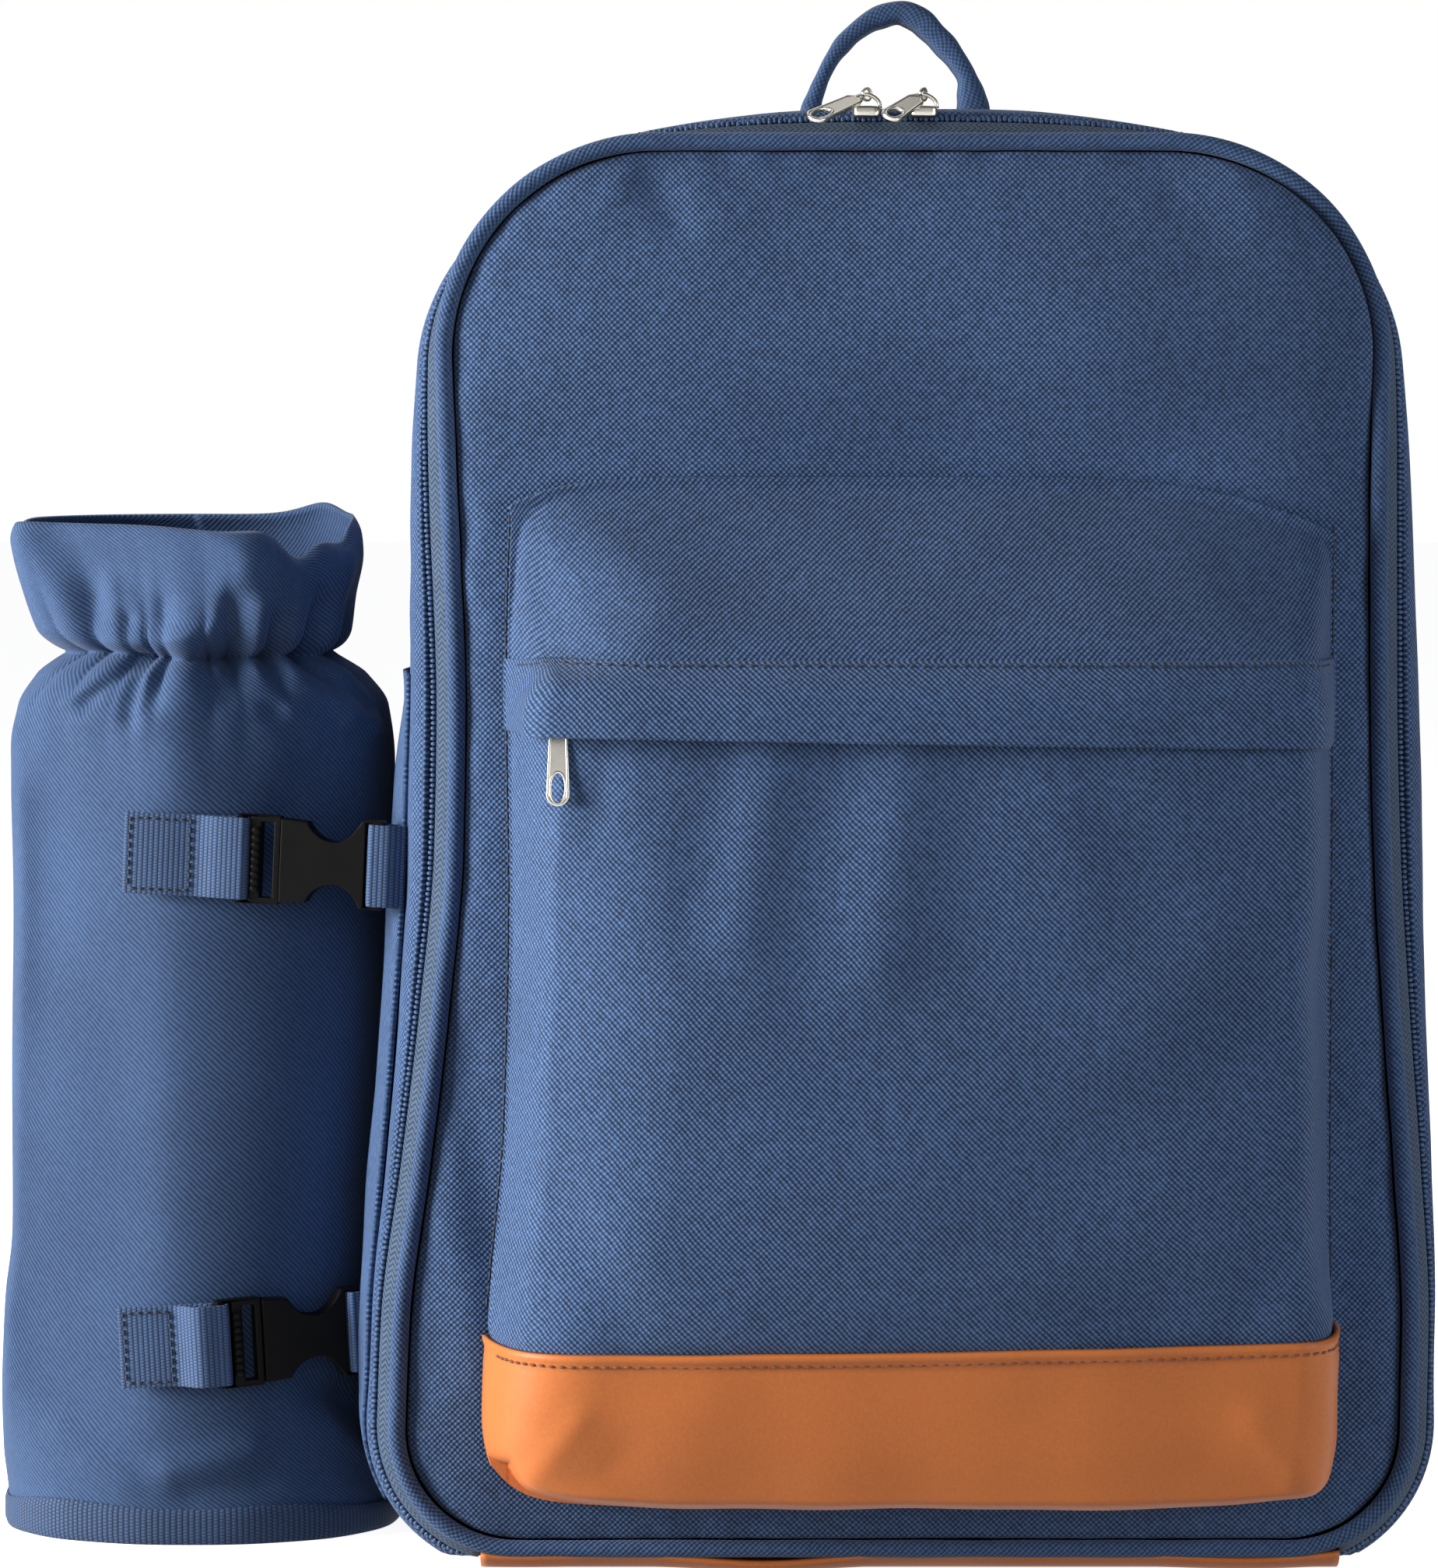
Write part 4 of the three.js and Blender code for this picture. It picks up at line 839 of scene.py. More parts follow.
def pocket_normal(x, z):
    step = 0.5
    slope_x = (pocket_depth(x + step, z) - pocket_depth(x - step, z)) / (2 * step)
    slope_z = (pocket_depth(x, z + step) - pocket_depth(x, z - step)) / (2 * step)
    return unit(spread(-slope_x, -1.0, -slope_z))


def pocket_point(x, z, out, least=0.3):
    """Point on the pocket's face, moved out along its normal."""
    depth = pocket_depth(x, z)
    face = spread(x, panel_face(x, z) - np.maximum(depth, 2.4), z)
    point = face + pocket_normal(x, z) * out[..., None]
    point[..., 0] += POCKET_SKEW * np.maximum(0, depth) / 45
    point[..., 1] = np.minimum(point[..., 1], panel_face(point[..., 0], point[..., 2]) - least)
    return point


COLUMNS = finer([0, 0.02, 0.045, 0.075, 0.12, 0.2, 0.35, 0.5, 0.65, 0.8, 0.88, 0.925, 0.955, 0.98, 1], 141)


def pocket_grid(low, high, shares):
    """Plan positions between two height lines of the pocket."""
    nominal = POCKET_LEFT + POCKET_WIDE * COLUMNS
    z = low(nominal) + (high(nominal) - low(nominal)) * shares[:, None]
    left, right = curve(POCKET, z, 1), curve(POCKET, z, 2)
    return left + (right - left) * COLUMNS, z


def level(height):
    return lambda x: np.full_like(x, height)


def add_pocket_cloth(name, points, finish, thick, slot, *nodes):
    """Cloth of the pocket, its distances counted from the middle column."""
    eased = points * (1, 0.45, 1)
    across = lengths(eased, 1).mean(0)
    cloth = spread(across - across[len(COLUMNS) // 2], lengths(eased, 0) + points[:1, :, 2])
    return add_cloth(name, points, cloth, finish, thick, slot, *nodes)


# Folds below the flap and over the swell, of the hood, and of the flap: start, end, half width, height
FRONT_FOLDS = [
    (-56, 238, -66, 190, 8, -0.9), (-44, 238, -52, 186, 7, 1.1), (-27, 238, -36, 170, 9, -0.9),
    (-8, 238, -14, 178, 8, 1.4), (10, 238, 10, 184, 9, -0.7), (30, 238, 40, 196, 10, 0.6),
    (60, 238, 74, 190, 12, 0.7), (-88, 236, -92, 214, 5, -0.8), (104, 170, 50, 128, 16, -1.2),
    (108, 210, 66, 168, 14, 0.9), (-62, 150, -20, 92, 22, 0.8), (-100, 110, -84, 78, 8, -0.8),
    (20, 150, 70, 80, 24, -0.8), (-40, 80, 60, 78, 7, -0.5), (96, 100, 84, 76, 8, -0.8),
]
HOOD_FOLDS = [
    (-108, 301, -90, 270, 5, 0.5), (112, 296, 100, 262, 6, 0.6), (-60, 296, -30, 270, 18, -0.6),
    (30, 300, 60, 268, 20, 0.5), (70, 292, 88, 262, 12, 0.6),
]
FLAP_FOLDS = [(-101, 258, -103, 238, 3, 1.0), (60, 240, 80, 256, 10, -0.6)]
# Soft dents and corner darts of the leather
LEATHER_FOLDS = [
    (-112, 26, -96, 50, 4, 0.6), (-104, 24, -84, 40, 6, -0.4), (110, 28, 90, 50, 5, 0.8),
    (98, 26, 78, 40, 7, -0.5), (-60, 48, 40, 44, 14, 0.5), (40, 60, 96, 54, 9, -0.4),
    (-108, 62, -70, 60, 6, -0.3),
]


def pocket_front():
    x, z = pocket_grid(lambda n: hem_height(n) - 4, level(ZIP_LOW + 2), np.linspace(0, 1, 120))
    relief = (folds(x, z, FRONT_FOLDS) + 0.4 * ripple(x, z, 70, 41)) * ramp(pocket_depth(x, z), 16)
    points = pocket_point(x, z, relief - 1.2 * ramp(hem_height(x) + 3 - z, 5))
    nodes = ("pocket_front", "pocket_zip")
    add_pocket_cloth("pocket_front_cloth", points, POCKET_CANVAS, 1.3, "navy_canvas", *nodes)


def pocket_hood():
    x, z = pocket_grid(level(ZIP_HIGH - 1), pocket_top, np.linspace(0, 1, 84) ** 0.9)
    relief = (folds(x, z, HOOD_FOLDS) + 0.35 * ripple(x, z, 60, 42)) * ramp(pocket_depth(x, z), 12)
    points = pocket_point(x, z, relief + 0.9 * bell(pocket_top(x) - z, 2.4))
    add_pocket_cloth("pocket_hood_cloth", points, SHADED_HOOD_CANVAS, 1.3, "navy_canvas", "pocket_hood")


def flap_stand(x, z):
    """Distance of the flap from the pocket, wide over the slider."""
    aside = x - POCKET_SLIDER_X - 5
    bump = 5 * bell(aside, np.where(aside < 0, 11, 130))
    ends = ramp(np.minimum(x - curve(POCKET, z, 1), curve(POCKET, z, 2) - x), 9)
    return 1.1 + (2.2 + bump) * smooth(ramp(FLAP_TOP - z, 14)) * ends


def pocket_flap():
    x, z = pocket_grid(flap_edge, level(FLAP_TOP), np.linspace(0, 1, 30))
    relief = 0.5 * ripple(x, z * 1.6, 48, 43) + folds(x, z, FLAP_FOLDS)
    sag = ramp(z - FLAP_BOTTOM, FLAP_TOP - FLAP_BOTTOM)
    points = pocket_point(x, z, flap_stand(x, z) + relief * (1 - 0.8 * sag), 2)
    made = add_pocket_cloth("pocket_flap_cloth", points, POCKET_CANVAS, 1.2, "navy_canvas", "pocket_flap")


def pocket_leather():
    x, z = pocket_grid(pocket_bottom, hem_height, finer([0, 0.012, 0.035, 0.08, 0.18, 0.4, 0.7, 1], 57))
    below = hem_height(x) - z
    lip = 0.7 * bell(below, 2.6) - 0.35 * bell(below - 3, 1.4)
    relief = (folds(x, z, LEATHER_FOLDS) + 0.35 * ripple(x, z, 55, 44)) * ramp(pocket_depth(x, z), 14)
    points = pocket_point(x, z, 0.8 + lip + relief)
    add_pocket_cloth("pocket_leather_trim", points, LEATHER, 1.5, "tan_leather", "pocket_leather")


def pocket_stitches():
    """Sewn lines of the pocket: hem of the leather, flap, and both side seams."""
    x = np.linspace(-117, 115, 160)
    z = hem_height(x) - 3
    row = pocket_point(x, z, np.full_like(x, 0.65))
    stitch_line("leather_stitches", row, pocket_normal(x, z), TAN_THREAD, "tan_leather", 3.1, 2.4, 0.85)
    x = np.linspace(-110, 113, 160)
    z = np.full_like(x, FLAP_TOP - 1.6)
    row = pocket_point(x, z, flap_stand(x, z) + 0.05)
    stitch_line("flap_stitches", row, pocket_normal(x, z), NAVY_THREAD, "navy_canvas", 3.6, 2.8, 0.75)
    z = np.linspace(76, 300, 150)
    for side, column, aside in (("left", 1, -0.5), ("right", 2, 0.5)):
        x = curve(POCKET, z, column) + aside
        row = spread(x, panel_face(x, z) - 0.6, z)
        stitch_line(f"pocket_{side}_stitches", row, AHEAD, NAVY_THREAD, "navy_canvas", 3.8, 2.9, 0.8)


# Bottle carrier: pinches of the drawn neck, in degrees round it from the right; the front is at -90
PINCHES = np.radians([
    -152, -133, -116, -108, -101, -84, -74, -58, -38, -16, 8, 30, 58, 80, 104, 127, 150, 171,
])
# Ridges and grooves of the sleeve, in degrees and height: start, end, half width, height
SLEEVE_FOLDS = [
    (-141, 292, -121, 276, 8, -1.6), (-152, 288, -131, 262, 7, 1.6), (-131, 274, -130, 264, 5, -2.6),
    (-119, 276, -114, 261, 4.5, 2.4), (-115, 268, -112, 260, 3, -2.4), (-104, 262, -101, 272, 3.5, -1.8),
    (-95, 284, -90, 264, 9, 1.4), (-74, 256, -71, 272, 5, -4.4), (-66, 290, -70, 274, 9, 1.4),
    (-64, 260, -60, 270, 5, 2.6), (-58, 258, -56, 268, 3.5, -2.8), (-50, 260, -46, 272, 5, 2.4),
    (-38, 258, -34, 272, 5, -3.4), (-27, 262, -23, 288, 7, 2.0), (-114, 255, -126, 245, 3.2, -2.6),
    (-119, 252, -132, 246, 3, 1.6), (-110, 255, -109, 241, 3, -2.6), (-106, 252, -106, 243, 2.6, 1.6),
    (-101, 255, -103, 245, 3, -2.2), (-128, 240, -104, 239, 5, 1.2), (-84, 255, -80, 247, 3.5, -1.8),
    (-74, 254, -64, 244, 4, -3.2), (-70, 249, -60, 243, 3, 2.4), (-60, 253, -44, 243, 4, -3.2),
    (-54, 249, -38, 241, 3.5, 2.6), (-42, 254, -26, 243, 4, -3.2), (-36, 247, -22, 238, 4, 2.4),
    (-150, 250, -162, 236, 6, 1.2), (-96, 250, -94, 228, 9, 1.4), (-60, 215, -50, 228, 6, -1.0),
    (-92, 22, -68, 27, 4, 1.8),
    (-88, 15, -66, 18, 3.5, -1.2), (-42, 44, -30, 36, 6, -2.8), (-36, 34, -12, 13, 4, 2.0),
    (-28, 42, -6, 22, 5, -2.4), (-165, 70, -140, 34, 9, 1.0), (-128, 30, -108, 18, 5, 1.0),
    (-118, 140, -112, 90, 12, -0.8),
]


def sleeve_point(z, angle, grow):
    """Point of the sleeve's rounded wall, moved out; its front left is flattened."""
    left, right, front, back = (curve(SLEEVE, z, k) for k in range(1, 5))
    c, s = np.cos(angle), np.sin(angle)
    c, s = c * (1 + 0.05 * s * s), s * (1 + 0.05 * c * c)
    half_y = (back - front) / 2 + (back + front) / 2 * s
    x, y = (right - left) / 2 * c, half_y * s
    high = ramp(z - 250, 18)
    turn = np.radians(FLAT_TURN[0] + (FLAT_TURN[1] - FLAT_TURN[0]) * high)
    over = -x * np.sin(turn) - y * np.cos(turn) - FLAT_OUT[0] - (FLAT_OUT[1] - FLAT_OUT[0]) * high
    flat = (np.sqrt(over * over + 9) + over) / 2 * ramp(z - 8, 30)
    x, y = x + flat * np.sin(turn) + grow * c, y + flat * np.cos(turn) + grow * s
    return spread((left + right) / 2 + x, y, z)


def billow(angle, power):
    """0 at each pinch of the neck, up to 1 in the middle of a wide gap between two."""
    starts = PINCHES - PINCHES[0]
    gaps = np.diff(np.append(starts, 2 * math.pi))
    turn = (angle - PINCHES[0]) % (2 * math.pi)
    i = np.searchsorted(starts, turn, "right") - 1
    share = (turn - starts[i]) / gaps[i]
    return np.sin(math.pi * share) ** power * np.minimum(1, gaps[i] / 0.62) ** 0.55


def bottle_sleeve():
    angle = np.linspace(0, 2 * math.pi, SLEEVE_SIDES, endpoint=False) + math.pi / 2
    z = np.concatenate([np.linspace(*rows) for rows in SLEEVE_ROWS])[:, None]
    around = (np.degrees(angle) + 180) % 360 - 180
    neck = NECK_Z + 0.9 * np.sin(2 * angle + 1) + 0.5 * np.sin(5 * angle)
    apart = np.abs(z - neck)
    drawn = 7 * np.exp(-apart / 9) * (billow(angle, 0.4 + np.minimum(apart / 25, 1)) - 0.5)
    crease = -5.5 * np.exp(-apart / 1.8)
    slack = 0.9 * ripple(angle * 48, z * 0.7, 70, 51) * ramp(z, 40)
    table = np.array(SLEEVE_FOLDS) * (0.8, 1, 0.8, 1, 1, 1)
    rolled = -1.8 * ramp(z - 291, 5) ** 2
    points = sleeve_point(z, angle, drawn + crease + slack + rolled + folds(around * 0.8, z, table))
    points[..., 1] -= 6 * bell(around + 163, 12) * ramp(z - 14, 30) * ramp(240 - z, 24)
    waves = sum(height * bell(around - middle, width) for middle, width, height in RIM_WAVES)
    points[..., 2] += ramp(z - 268, 28) ** 1.4 * (1.5 + 1.5 * np.sin(angle) + waves)
    cloth = spread(np.linspace(0, 316, SLEEVE_SIDES + 1), lengths(points, 0)[:, :1])
    made = add_cloth(
        "bottle_sleeve_cloth", points, cloth, SLEEVE_CANVAS, 1.3, "navy_canvas", "bottle_sleeve",
        inside=BOTTLE_MIDDLE, ring=True,
    )


def bottle_binding():
    angle = np.linspace(-math.pi, math.pi, 200, endpoint=False)
    share = np.array([0, 0.03, 0.2, 0.4, 0.6, 0.8, 0.97, 1])[:, None]
    roll = 1.5 - 0.8 * np.abs(share * 2 - 1) ** 6
    points = sleeve_point(np.full_like(share, 5), angle, roll + 0.15 * np.sin(13 * angle))
    points[..., 2] = share * (10.2 + 1.2 * np.sin(2 * angle - 0.9) + 0.9 * np.sin(5 * angle + 0.5))
    cloth = spread(np.linspace(0, 330, len(angle) + 1), share * 10)
    add_cloth(
        "bottle_binding_tape", points, cloth, BINDING, 1.2, "navy_webbing", "bottle_binding",
        inside=BOTTLE_MIDDLE, ring=True,
    )


def bottle_floor():
    angle = np.linspace(-math.pi, math.pi, 120, endpoint=False)
    share = np.linspace(0.02, 1, 12)[:, None]
    rim, centre = sleeve_point(np.full_like(angle, 0.3), angle, -2.1), np.array([-207.4, 0, 0])
    points = centre + (rim - centre) * share[..., None]
    points[..., 2] = 2.2 - 0.8 * share**6
    cloth = np.concatenate([points, points[:, :1]], 1)[..., :2]
    add_cloth(
        "bottle_floor_cloth", points, cloth, SLEEVE_CANVAS, 1.6, "navy_canvas", "bottle_floor",
        inside=UNDER_BOTTLE, ring=True,
    )


# Clips
def sleeve_front(name, x, clear):
    """Depth of the sleeve's front at a clip, with a clear distance before it."""
    left, right, front = (np.interp(CLIPS[name][0], SLEEVE[:, 0], SLEEVE[:, k]) for k in (1, 2, 3))
    share = np.abs((x - (left + right) / 2) / ((right - left) / 2)) ** SQUARENESS
    return front * (1 - share) ** (1 / SQUARENESS) - clear


def clip_frames(name):
    """Placements of a clip's webbing and of its buckle."""
    height, _, _, buckle, yaw, lean, _ = CLIPS[name]
    strap = Matrix.Translation((buckle, 0, height)) @ Matrix.Rotation(math.radians(-lean), 4, "Y")
    ahead = Matrix.Translation((0, sleeve_front(name, buckle, BUCKLE_CLEAR), 0))
    return strap, strap @ ahead @ Matrix.Rotation(math.radians(yaw), 4, "Z")


def set_down(made, placement):
    """Moves a mesh to its placement in millimetres."""
    made.data.transform(Matrix.Scale(MM, 4) @ placement @ Matrix.Scale(1 / MM, 4))


def ribbon(name, path, placement, node):
    """Webbing that follows a plan path, with rounded selvedges."""
    line = through([(x, y, 0) for x, y in path], 90)
    out = run_of(line)[:, [1, 0, 2]] * (-1, 1, 0)
    made = add_tube(name, line, out, UP, WEBBING, WEBBING_WIDTH, RIBS, 36, square=7)
    set_down(made, placement)
    dress(made, "navy_webbing", node)


def clip_webbing(name):
    """Webbing from the sleeve round the buckle's frame and back, and from the buckle's body to the bag."""
    _, patch, sewn, buckle, yaw, _, tail = CLIPS[name]
    strap, turned = clip_frames(name)
    places = patch + (sewn - patch) * np.array([0, 0.35, 0.7, 1])
    on_sleeve = [(x - buckle, sleeve_front(name, x, 0.6 + WEBBING / 2)) for x in places]
    over = [(x, y - 0.3 - WEBBING) for x, y in on_sleeve]
    gap = 0.3 + WEBBING / 2
    face, end = FRAME_THICK / 2 + gap, BUCKLE_THICK / 2 + gap
    turn, base = Matrix.Rotation(math.radians(yaw), 2), sleeve_front(name, buckle, BUCKLE_CLEAR)
    loop = [(-5, 0.5 - face), (-0.6, -face), (2.6, -face), (3.25, 0), (2.6, face), (-0.6, face)]
    loop = [turn @ Vector(place) + Vector((0, base)) for place in loop]
    path = [*over, *loop, (-6.5, on_sleeve[3][1]), on_sleeve[2]]
    ribbon(f"{name}_clip_webbing", path, strap, f"{name}_webbing_tab")
    path = [(tail, -1.2), (44, -end), (40.2, -end), (39.05, 0), (40.2, end), (43, end), (tail - 0.5, end - 1)]
    ribbon(f"{name}_bag_webbing", path, turned, f"{name}_side_webbing")


def buckle_ribs(name):
    """Serrated face of the bar that grips the webbing."""
    z = np.linspace(-9.6, 9.6, 97)[:, None]
    x, share = GRIP_BAR.T
    rise = share * (0.2 + 0.55 * np.abs(np.cos(z * math.pi / 2.1)))
    points = spread(x, -FRAME_THICK / 2 - rise, z)
    made = add_grid(f"{name}_buckle_ribs", points, points[..., ::2], PLASTIC, (6, 5, 0))
    set_down(made, clip_frames(name)[1])
    dress(made, "black_plastic")


def box_stitches(name):
    """Stitched box that holds a clip's webbing on the sleeve."""
    _, patch, sewn, buckle, *_ = CLIPS[name]
    left, right, half = patch + 1.6, sewn - 0.8, WEBBING_WIDTH / 2 - 1.6
    path = closed_path([(left, -half), (right, -half), (right, half), (left, half)], 24)
    strap, _ = clip_frames(name)
    row = [strap @ Vector((x - buckle, sleeve_front(name, x, 0.95 + 2 * WEBBING), z)) for x, z in path]
    stitch_line(f"{name}_box_stitches", row, AHEAD, NAVY_THREAD, "navy_webbing", 2.6, 2.0, 0.75)


# Carrying
def carry_handle():
    line = through(np.insert(HANDLE, 1, HANDLE_Y, axis=1), 110)
    centres = line[:, :3]
    out = unit(np.cross(DEEP, run_of(centres)))
    share = np.linspace(0, 1, len(centres))
    creased = 1 + 0.05 * np.sin(share * 46) * np.sin(share * math.pi) + 0.02 * np.sin(share * 83 + 1)
    thick, wide = line[:, 3] * creased, line[:, 4]
    made = add_tube("carry_handle_strip", centres, out, DEEP, thick, wide, HANDLE_CANVAS, 28, square=3.6)
    dress(made, "navy_canvas", "carry_handle")


def band_frame(path, side):
    """Rows of a band on one side of the back, and its centres with their directions out and across."""
    line = through(path, 60)
    centres = line[:, :3] * (side, 1, 1)
    run = run_of(centres)
    across = unit(np.cross(DEEP, run))
    return line, (centres, unit(np.cross(run, across)), across)


def shown_mesh(made):
    """New mesh of an object as it shows, with its modifiers."""
    bpy.context.view_layer.update()
    return bpy.data.meshes.new_from_object(made.evaluated_get(bpy.context.evaluated_depsgraph_get()))


def plump(pad, cap):
    """Swells a pad under pressure with a cloth simulation; each point moves at most cap."""
    rest = np.array([v.co for v in pad.data.vertices])
    cloth = pad.modifiers.new("swell", "CLOTH")
    cloth.settings.use_pressure, cloth.settings.uniform_pressure_force = True, 4.0
    cloth.settings.effector_weights.gravity = 0
    for step in range(1, 21):
        bpy.context.scene.frame_set(step)
    swollen = shown_mesh(pad)
    pad.modifiers.clear()
    pad.data = swollen
    moved = np.array([v.co for v in swollen.vertices]) - rest
    far = np.linalg.norm(moved, axis=1, keepdims=True)
    kept = rest + moved * np.minimum(1, cap * MM / np.maximum(far, 1e-9))
    swollen.vertices.foreach_set("co", kept.astype(np.float32).ravel())
    bpy.context.scene.frame_set(1)


def shoulder_strap(name, side):
    line, band = band_frame(STRAP, side)
    thick, wide = line[:, 4] * 0.8, line[:, 3] * 0.985
    pad = add_tube(f"shoulder_strap_pad_{name}", *band, thick, wide, CANVAS, 28, square=3)
    plump(pad, 1.6)
    eased = pad.modifiers.new("eased", "SMOOTH")
    eased.factor, eased.iterations = 0.5, 3
    pad.data.shade_smooth()
    fine = pad.modifiers.new("finer", "SUBSURF")
    fine.levels = fine.render_levels = 1
    dress(pad, "navy_canvas", f"shoulder_strap_{name}")
    _, band = band_frame(STRAP_TAIL, side)
    tail = add_tube(f"strap_tail_{name}", *band, 1.8, 25, RIBS, 36, square=6)
    dress(tail, "navy_webbing", f"strap_webbing_{name}")


def strap_anchor(name, side):
    """Leather patch that holds the strap's webbing at the foot of the back."""
    shape = bmesh.new()
    face = shape.faces.new([shape.verts.new((x * side * MM, ANCHOR_Y * MM, z * MM)) for x, z in ANCHOR])
    grown = bmesh.ops.extrude_face_region(shape, geom=[face])["geom"]
    moved = [part for part in grown if isinstance(part, bmesh.types.BMVert)]
    bmesh.ops.translate(shape, vec=(0, ANCHOR_THICK * MM, 0), verts=moved)
    bmesh.ops.recalc_face_normals(shape, faces=shape.faces)
    made = add_shape(f"strap_anchor_patch_{name}", shape, LEATHER)
    soften(made, 0.9)
    dress(made, "tan_leather", f"strap_anchor_{name}")
    row = in_plane(closed_path(ANCHOR_SEAM, 20) * (side, 1), ANCHOR_Y + ANCHOR_THICK + 0.05)
    stitch_line(f"strap_anchor_stitches_{name}", row, DEEP, TAN_THREAD, "tan_leather", 3.1, 2.3, 0.62)


# Hardware
def even_shading(made):
    made.modifiers.new("even_shading", "WEIGHTED_NORMAL").keep_sharp = False


def soften(made, width, weld=False):
    """Rounds the edges of a hard piece."""
    if weld:
        made.modifiers.new("weld", "WELD").merge_threshold = 2e-5
    bevel = made.modifiers.new("soft_edges", "BEVEL")
    bevel.width, bevel.segments, bevel.limit_method = width * MM, 3, "ANGLE"
    bevel.angle_limit, bevel.use_clamp_overlap = math.radians(28), True
    made.data.shade_smooth()
    even_shading(made)


def main_slider(name, x):
    """Cast slider that wraps the coil, with an arched bail for its pull."""
    ends = np.linspace(-1, 1, 15)
    full = np.sqrt(np.maximum(0.05, 1 - np.abs(ends) ** 6))
    centres = spread(x + 4.1 * ends, SLIDER_Y, SLIDER_Z)
    thick, wide = 3.4 * full, 6.6 * full * (1 - 0.12 * ends)
    casting = add_tube(f"main_slider_casting_{name}", centres, UP, DEEP, thick, wide, NICKEL, 24, square=5)
    dress(casting, "nickel_plate", f"main_slider_{name}")
    turn = np.linspace(0, math.pi, 25)
    arch = 3.75 * (0.35 * np.cos(turn) ** 3 + 0.65 * np.cos(turn))
    bend = spread(x + arch, SLIDER_Y, BAIL_Z + 3.85 * np.sin(turn) ** 0.7)
    out = unit(np.cross(run_of(bend), DEEP))
    bail = add_tube(f"main_slider_bail_{name}", bend, out, DEEP, 1.1, 1.2, NICKEL, 12)
    dress(bail, "nickel_plate")


def plate_of(loops, thick, rounding):
    """Mesh of a flat plate with rounded edges; the first loop is its outline, the others are holes."""
    flat = bpy.data.curves.new("plate", "CURVE")
    flat.dimensions, flat.fill_mode = "2D", "BOTH"
    flat.bevel_depth, flat.bevel_resolution, flat.offset = rounding * MM, 3, -rounding * MM
    flat.extrude = (thick / 2 - rounding) * MM
    for loop in loops:
        line = flat.splines.new("POLY")
        line.points.add(len(loop) - 1)
        line.points.foreach_set("co", [part for x, y in loop for part in (x * MM, y * MM, 0, 1)])
        line.use_cyclic_u = True
    holder = add_object(flat)
    mesh = shown_mesh(holder)
    bpy.data.objects.remove(holder)
    bpy.data.curves.remove(flat)
    return mesh


def placement_of(node, eye):
    """Where a pull lies: X from its eye to its tip, Y across, Z through its plate."""
    points = np.array([node.matrix_world @ v.co for v in node.data.vertices]) / MM
    middle = points.mean(0)
    along, across = np.linalg.svd(points - middle)[2][:2]
    along = along * (1 if along[2] < 0 else -1)
    start = middle + along * (((points - middle) @ along).min() + eye)
    placement = np.eye(4)
    placement[:3] = np.stack([along, across, np.cross(along, across), start * MM], 1)
    return Matrix(placement.tolist())


def pull_tab(name, eye, hole, eye_width, neck, length, width, roll=0):
    """Cast pull: an eye round the bail, a neck, and a plate with a slot and a raised rim."""
    tip = length - width / 2
    around = np.radians(np.arange(0, 360, 10))

    def outline(inset):
        side = width / 2 - inset
        ends = [(eye - 0.4, -0.5 * eye_width), (neck - 1.2, -0.55 * eye_width), (neck + 0.6, -0.8 * side)]
        ends = [(x + inset, y) for x, y in ends]
        turn = np.radians(np.linspace(-90, 90, 25))
        round_end = [(tip + side * math.cos(a), side * math.sin(a)) for a in turn]
        return [*ends, *round_end, *((x, -y) for x, y in ends[::-1])]

    def slot(grown):
        start, long, wide = tip - width * 0.28, width * 0.62 + grown, width * 0.28 + grown
        return [(start + long * math.cos(a), wide * math.sin(a)) for a in around]

    shape = bmesh.new()
    shape.from_mesh(plate_of([outline(0.25), slot(0.2)], 0.95, 0.2))
    for rim in ([outline(0), outline(0.85)], [slot(0.75), slot(0)]):
        shape.from_mesh(plate_of(rim, 1.3, 0.3))
    shape.transform(Matrix.Rotation(math.radians(roll), 4, "X"))
    middle, ring = np.radians(np.linspace(0, 360, 33)[:-1]), (eye + hole) / 2
    centres = spread(ring * np.cos(middle), 0, ring * np.sin(middle))
    out, thick = unit(centres), eye - hole
    loop = add_tube("eye", centres, out, DEEP, thick, eye_width, NICKEL, 12, square=3, ring=True)
    shape.from_mesh(loop.data)
    bpy.data.objects.remove(loop)
    shape.transform(placement_of(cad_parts[name], eye))
    made = add_shape(f"{name}_casting", shape, NICKEL)
    even_shading(made)
    dress(made, "nickel_plate", name, body=name)


def finish_hardware():
    """Main sliders and pulls are cast anew; the pocket's slider and the buckles are softened solids."""
    for side, x in SLIDERS.items():
        main_slider(side, x)
        pull_tab(f"main_pull_{side}", 2.05, 1.35, 1.1, 5.0, 25, 6.2, roll=-26)
    pull_tab("pocket_pull", 1.8, 0.95, 3, 3.4, 23.5, 6.4)
    for name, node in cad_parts.items():
        metal = name == "pocket_slider"
        if metal or "buckle" in name:
            node.data.materials.clear()
            node.data.materials.append(NICKEL if metal else PLASTIC)
            soften(node, 0.22 if metal else 0.55, weld=True)


# Stage
def add_camera():
    data = bpy.data.cameras.new("photo_camera")
    data.sensor_width, data.lens = SENSOR, SENSOR * FOCAL_PIXELS / PHOTO_PIXELS
    camera = bpy.context.scene.camera = add_object(data)
    camera.location = CAMERA_PLACE
    camera.rotation_euler = (math.radians(90 - CAMERA_TILT), 0, 0)


def add_light(name, place, aim, size, power, colour=(1, 1, 1)):
    data = bpy.data.lights.new(name, "AREA")
    data.shape, data.size, data.size_y = "RECTANGLE", *size
    data.energy, data.color = power, colour
    light = add_object(data)
    light.location = place
    light.rotation_euler = (Vector(aim) - Vector(place)).to_track_quat("-Z", "Y").to_euler()


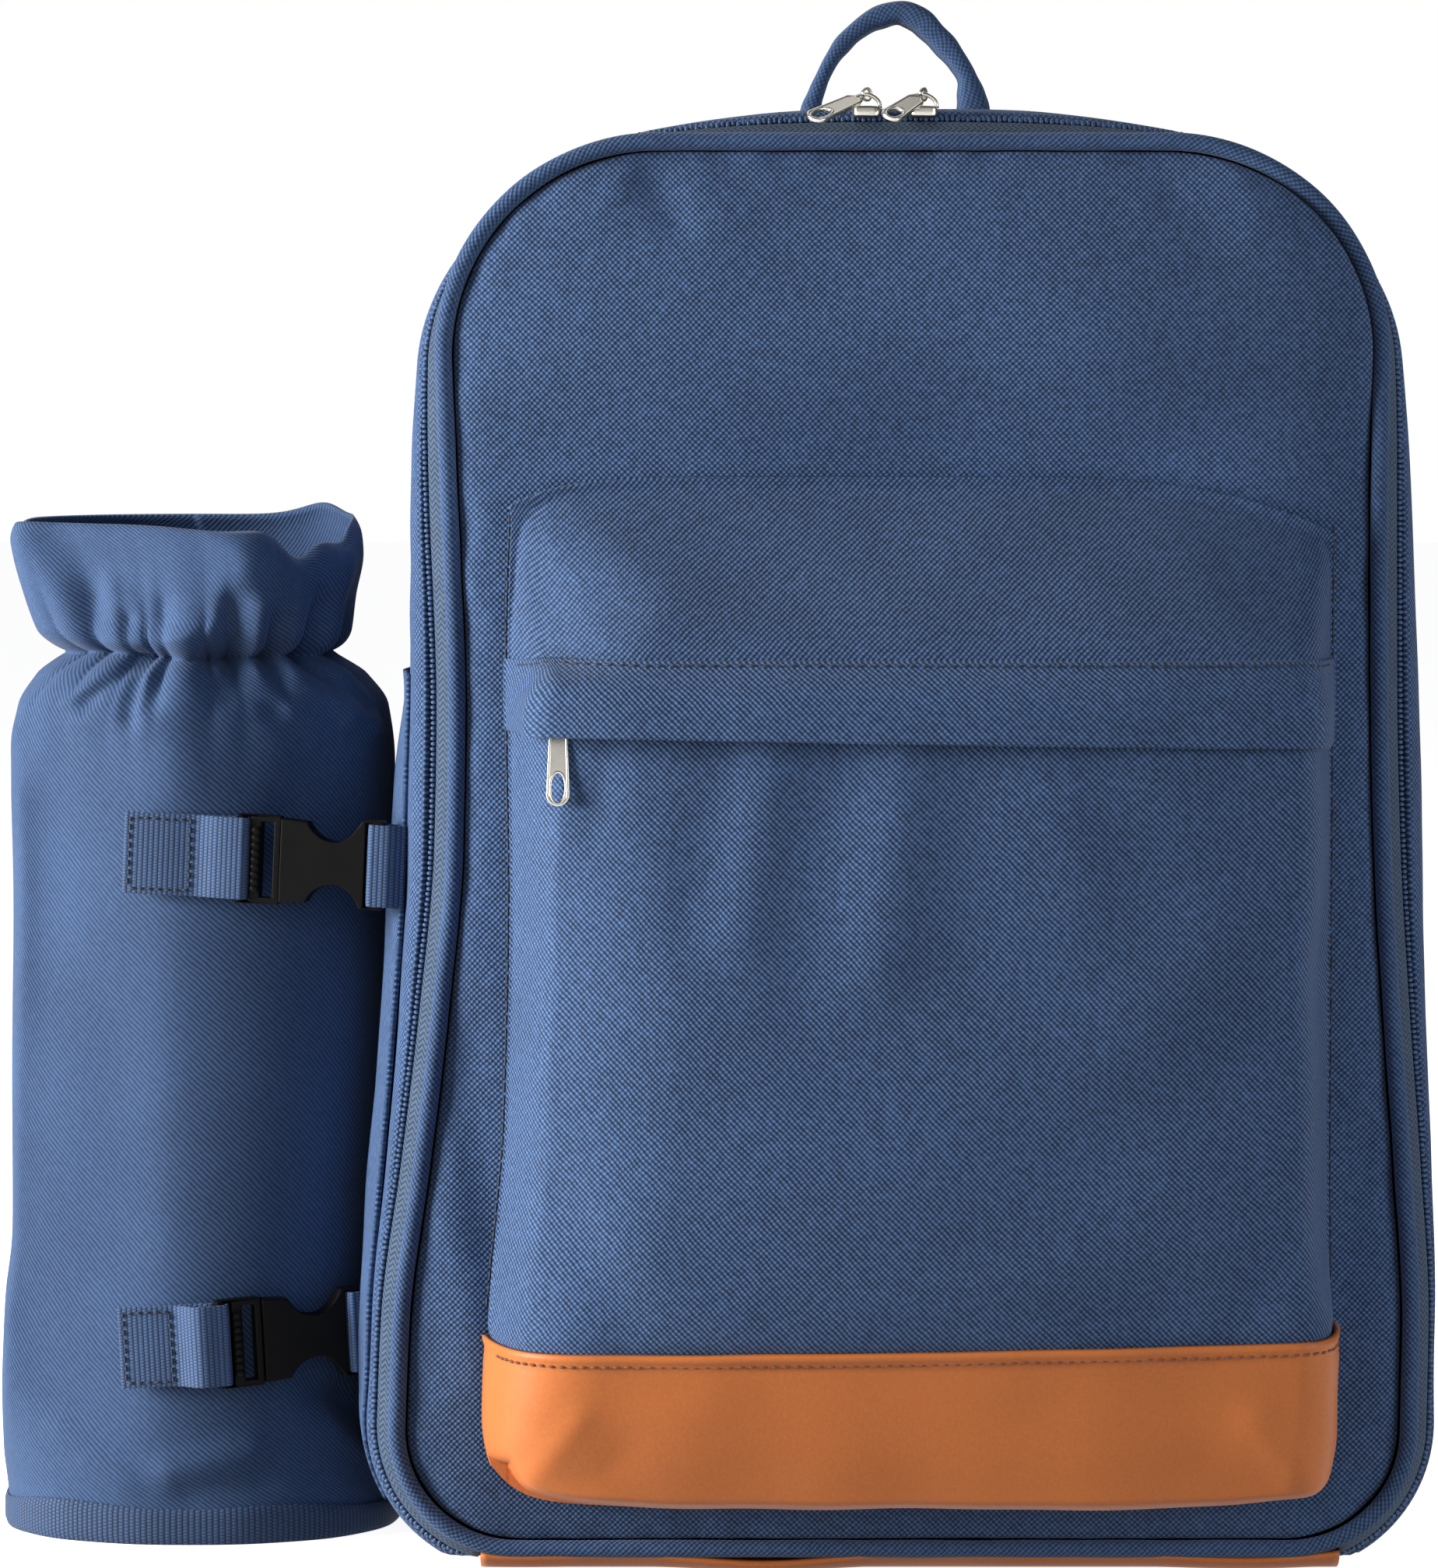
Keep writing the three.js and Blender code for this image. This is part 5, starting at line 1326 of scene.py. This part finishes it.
def add_world(lit, seen):
    """Even light all round, with a paler backdrop behind the object."""
    world = bpy.context.scene.world = bpy.data.worlds.new("studio")
    graph = Graph(world)
    around, behind = (
        graph.node("ShaderNodeBackground", None, {"Color": colour, "Strength": strength})
        for colour, strength in (((0.95, 0.97, 1, 1), lit), ((1, 1, 1, 1), seen))
    )
    to_camera = graph.node("ShaderNodeLightPath", output="Is Camera Ray")
    both = graph.node("ShaderNodeMixShader", None, {0: to_camera, 1: around, 2: behind})
    graph.put(graph.tree.nodes["World Output"].inputs["Surface"], both)


def add_floor():
    finish = Finish("pale_floor", Roughness=0.9, Specular_IOR_Level=0.1)
    finish.feed(Emission_Color=(1, 1, 1, 1), Emission_Strength=0.9)
    material = finish.paint(finish.noise(900, 2.0), (0.88, 0.88, 0.88, 1), (0.93, 0.93, 0.93, 1))
    corners = [(x * FLOOR_HALF, y * FLOOR_HALF, FLOOR_Z) for x, y in ((-1, -1), (1, -1), (1, 1), (-1, 1))]
    floor = add_mesh("floor", corners, [[0, 1, 2, 3]], material)
    floor.visible_diffuse = False


add_camera()
add_world(0.085, 1.0)
add_light("key_left", (-2.2, -0.5, 0.44), (0, -0.1, 0.2), (0.9, 1.3), 134, (1, 0.985, 0.96))
add_light("fill_right", (1.9, -1.25, 0.5), (0, -0.1, 0.2), (1.2, 1.2), 22, (0.97, 0.98, 1))
add_light("fill_front", (-0.3, -2.5, 0.75), (0, 0, 0.2), (3.2, 2.4), 14, (0.95, 0.97, 1))
add_light("top_back", (-0.4, 0.9, 1.5), (0, 0, 0.3), (1.6, 1.0), 7)
add_floor()
bpy.context.scene.view_settings.view_transform = "Standard"

for make in (
    front_panel, piping, zip_tape, zip_coil, side_wall, back_panel, base_leather, side_pocket, pocket_front,
    pocket_hood, pocket_flap, pocket_leather, pocket_stitches, bottle_sleeve, bottle_binding, bottle_floor,
):
    make()
for clip in CLIPS:
    clip_webbing(clip)
    buckle_ribs(clip)
    box_stitches(clip)
carry_handle()
for name, side in (("left", -1), ("right", 1)):
    shoulder_strap(name, side)
    strap_anchor(name, side)
finish_hardware()
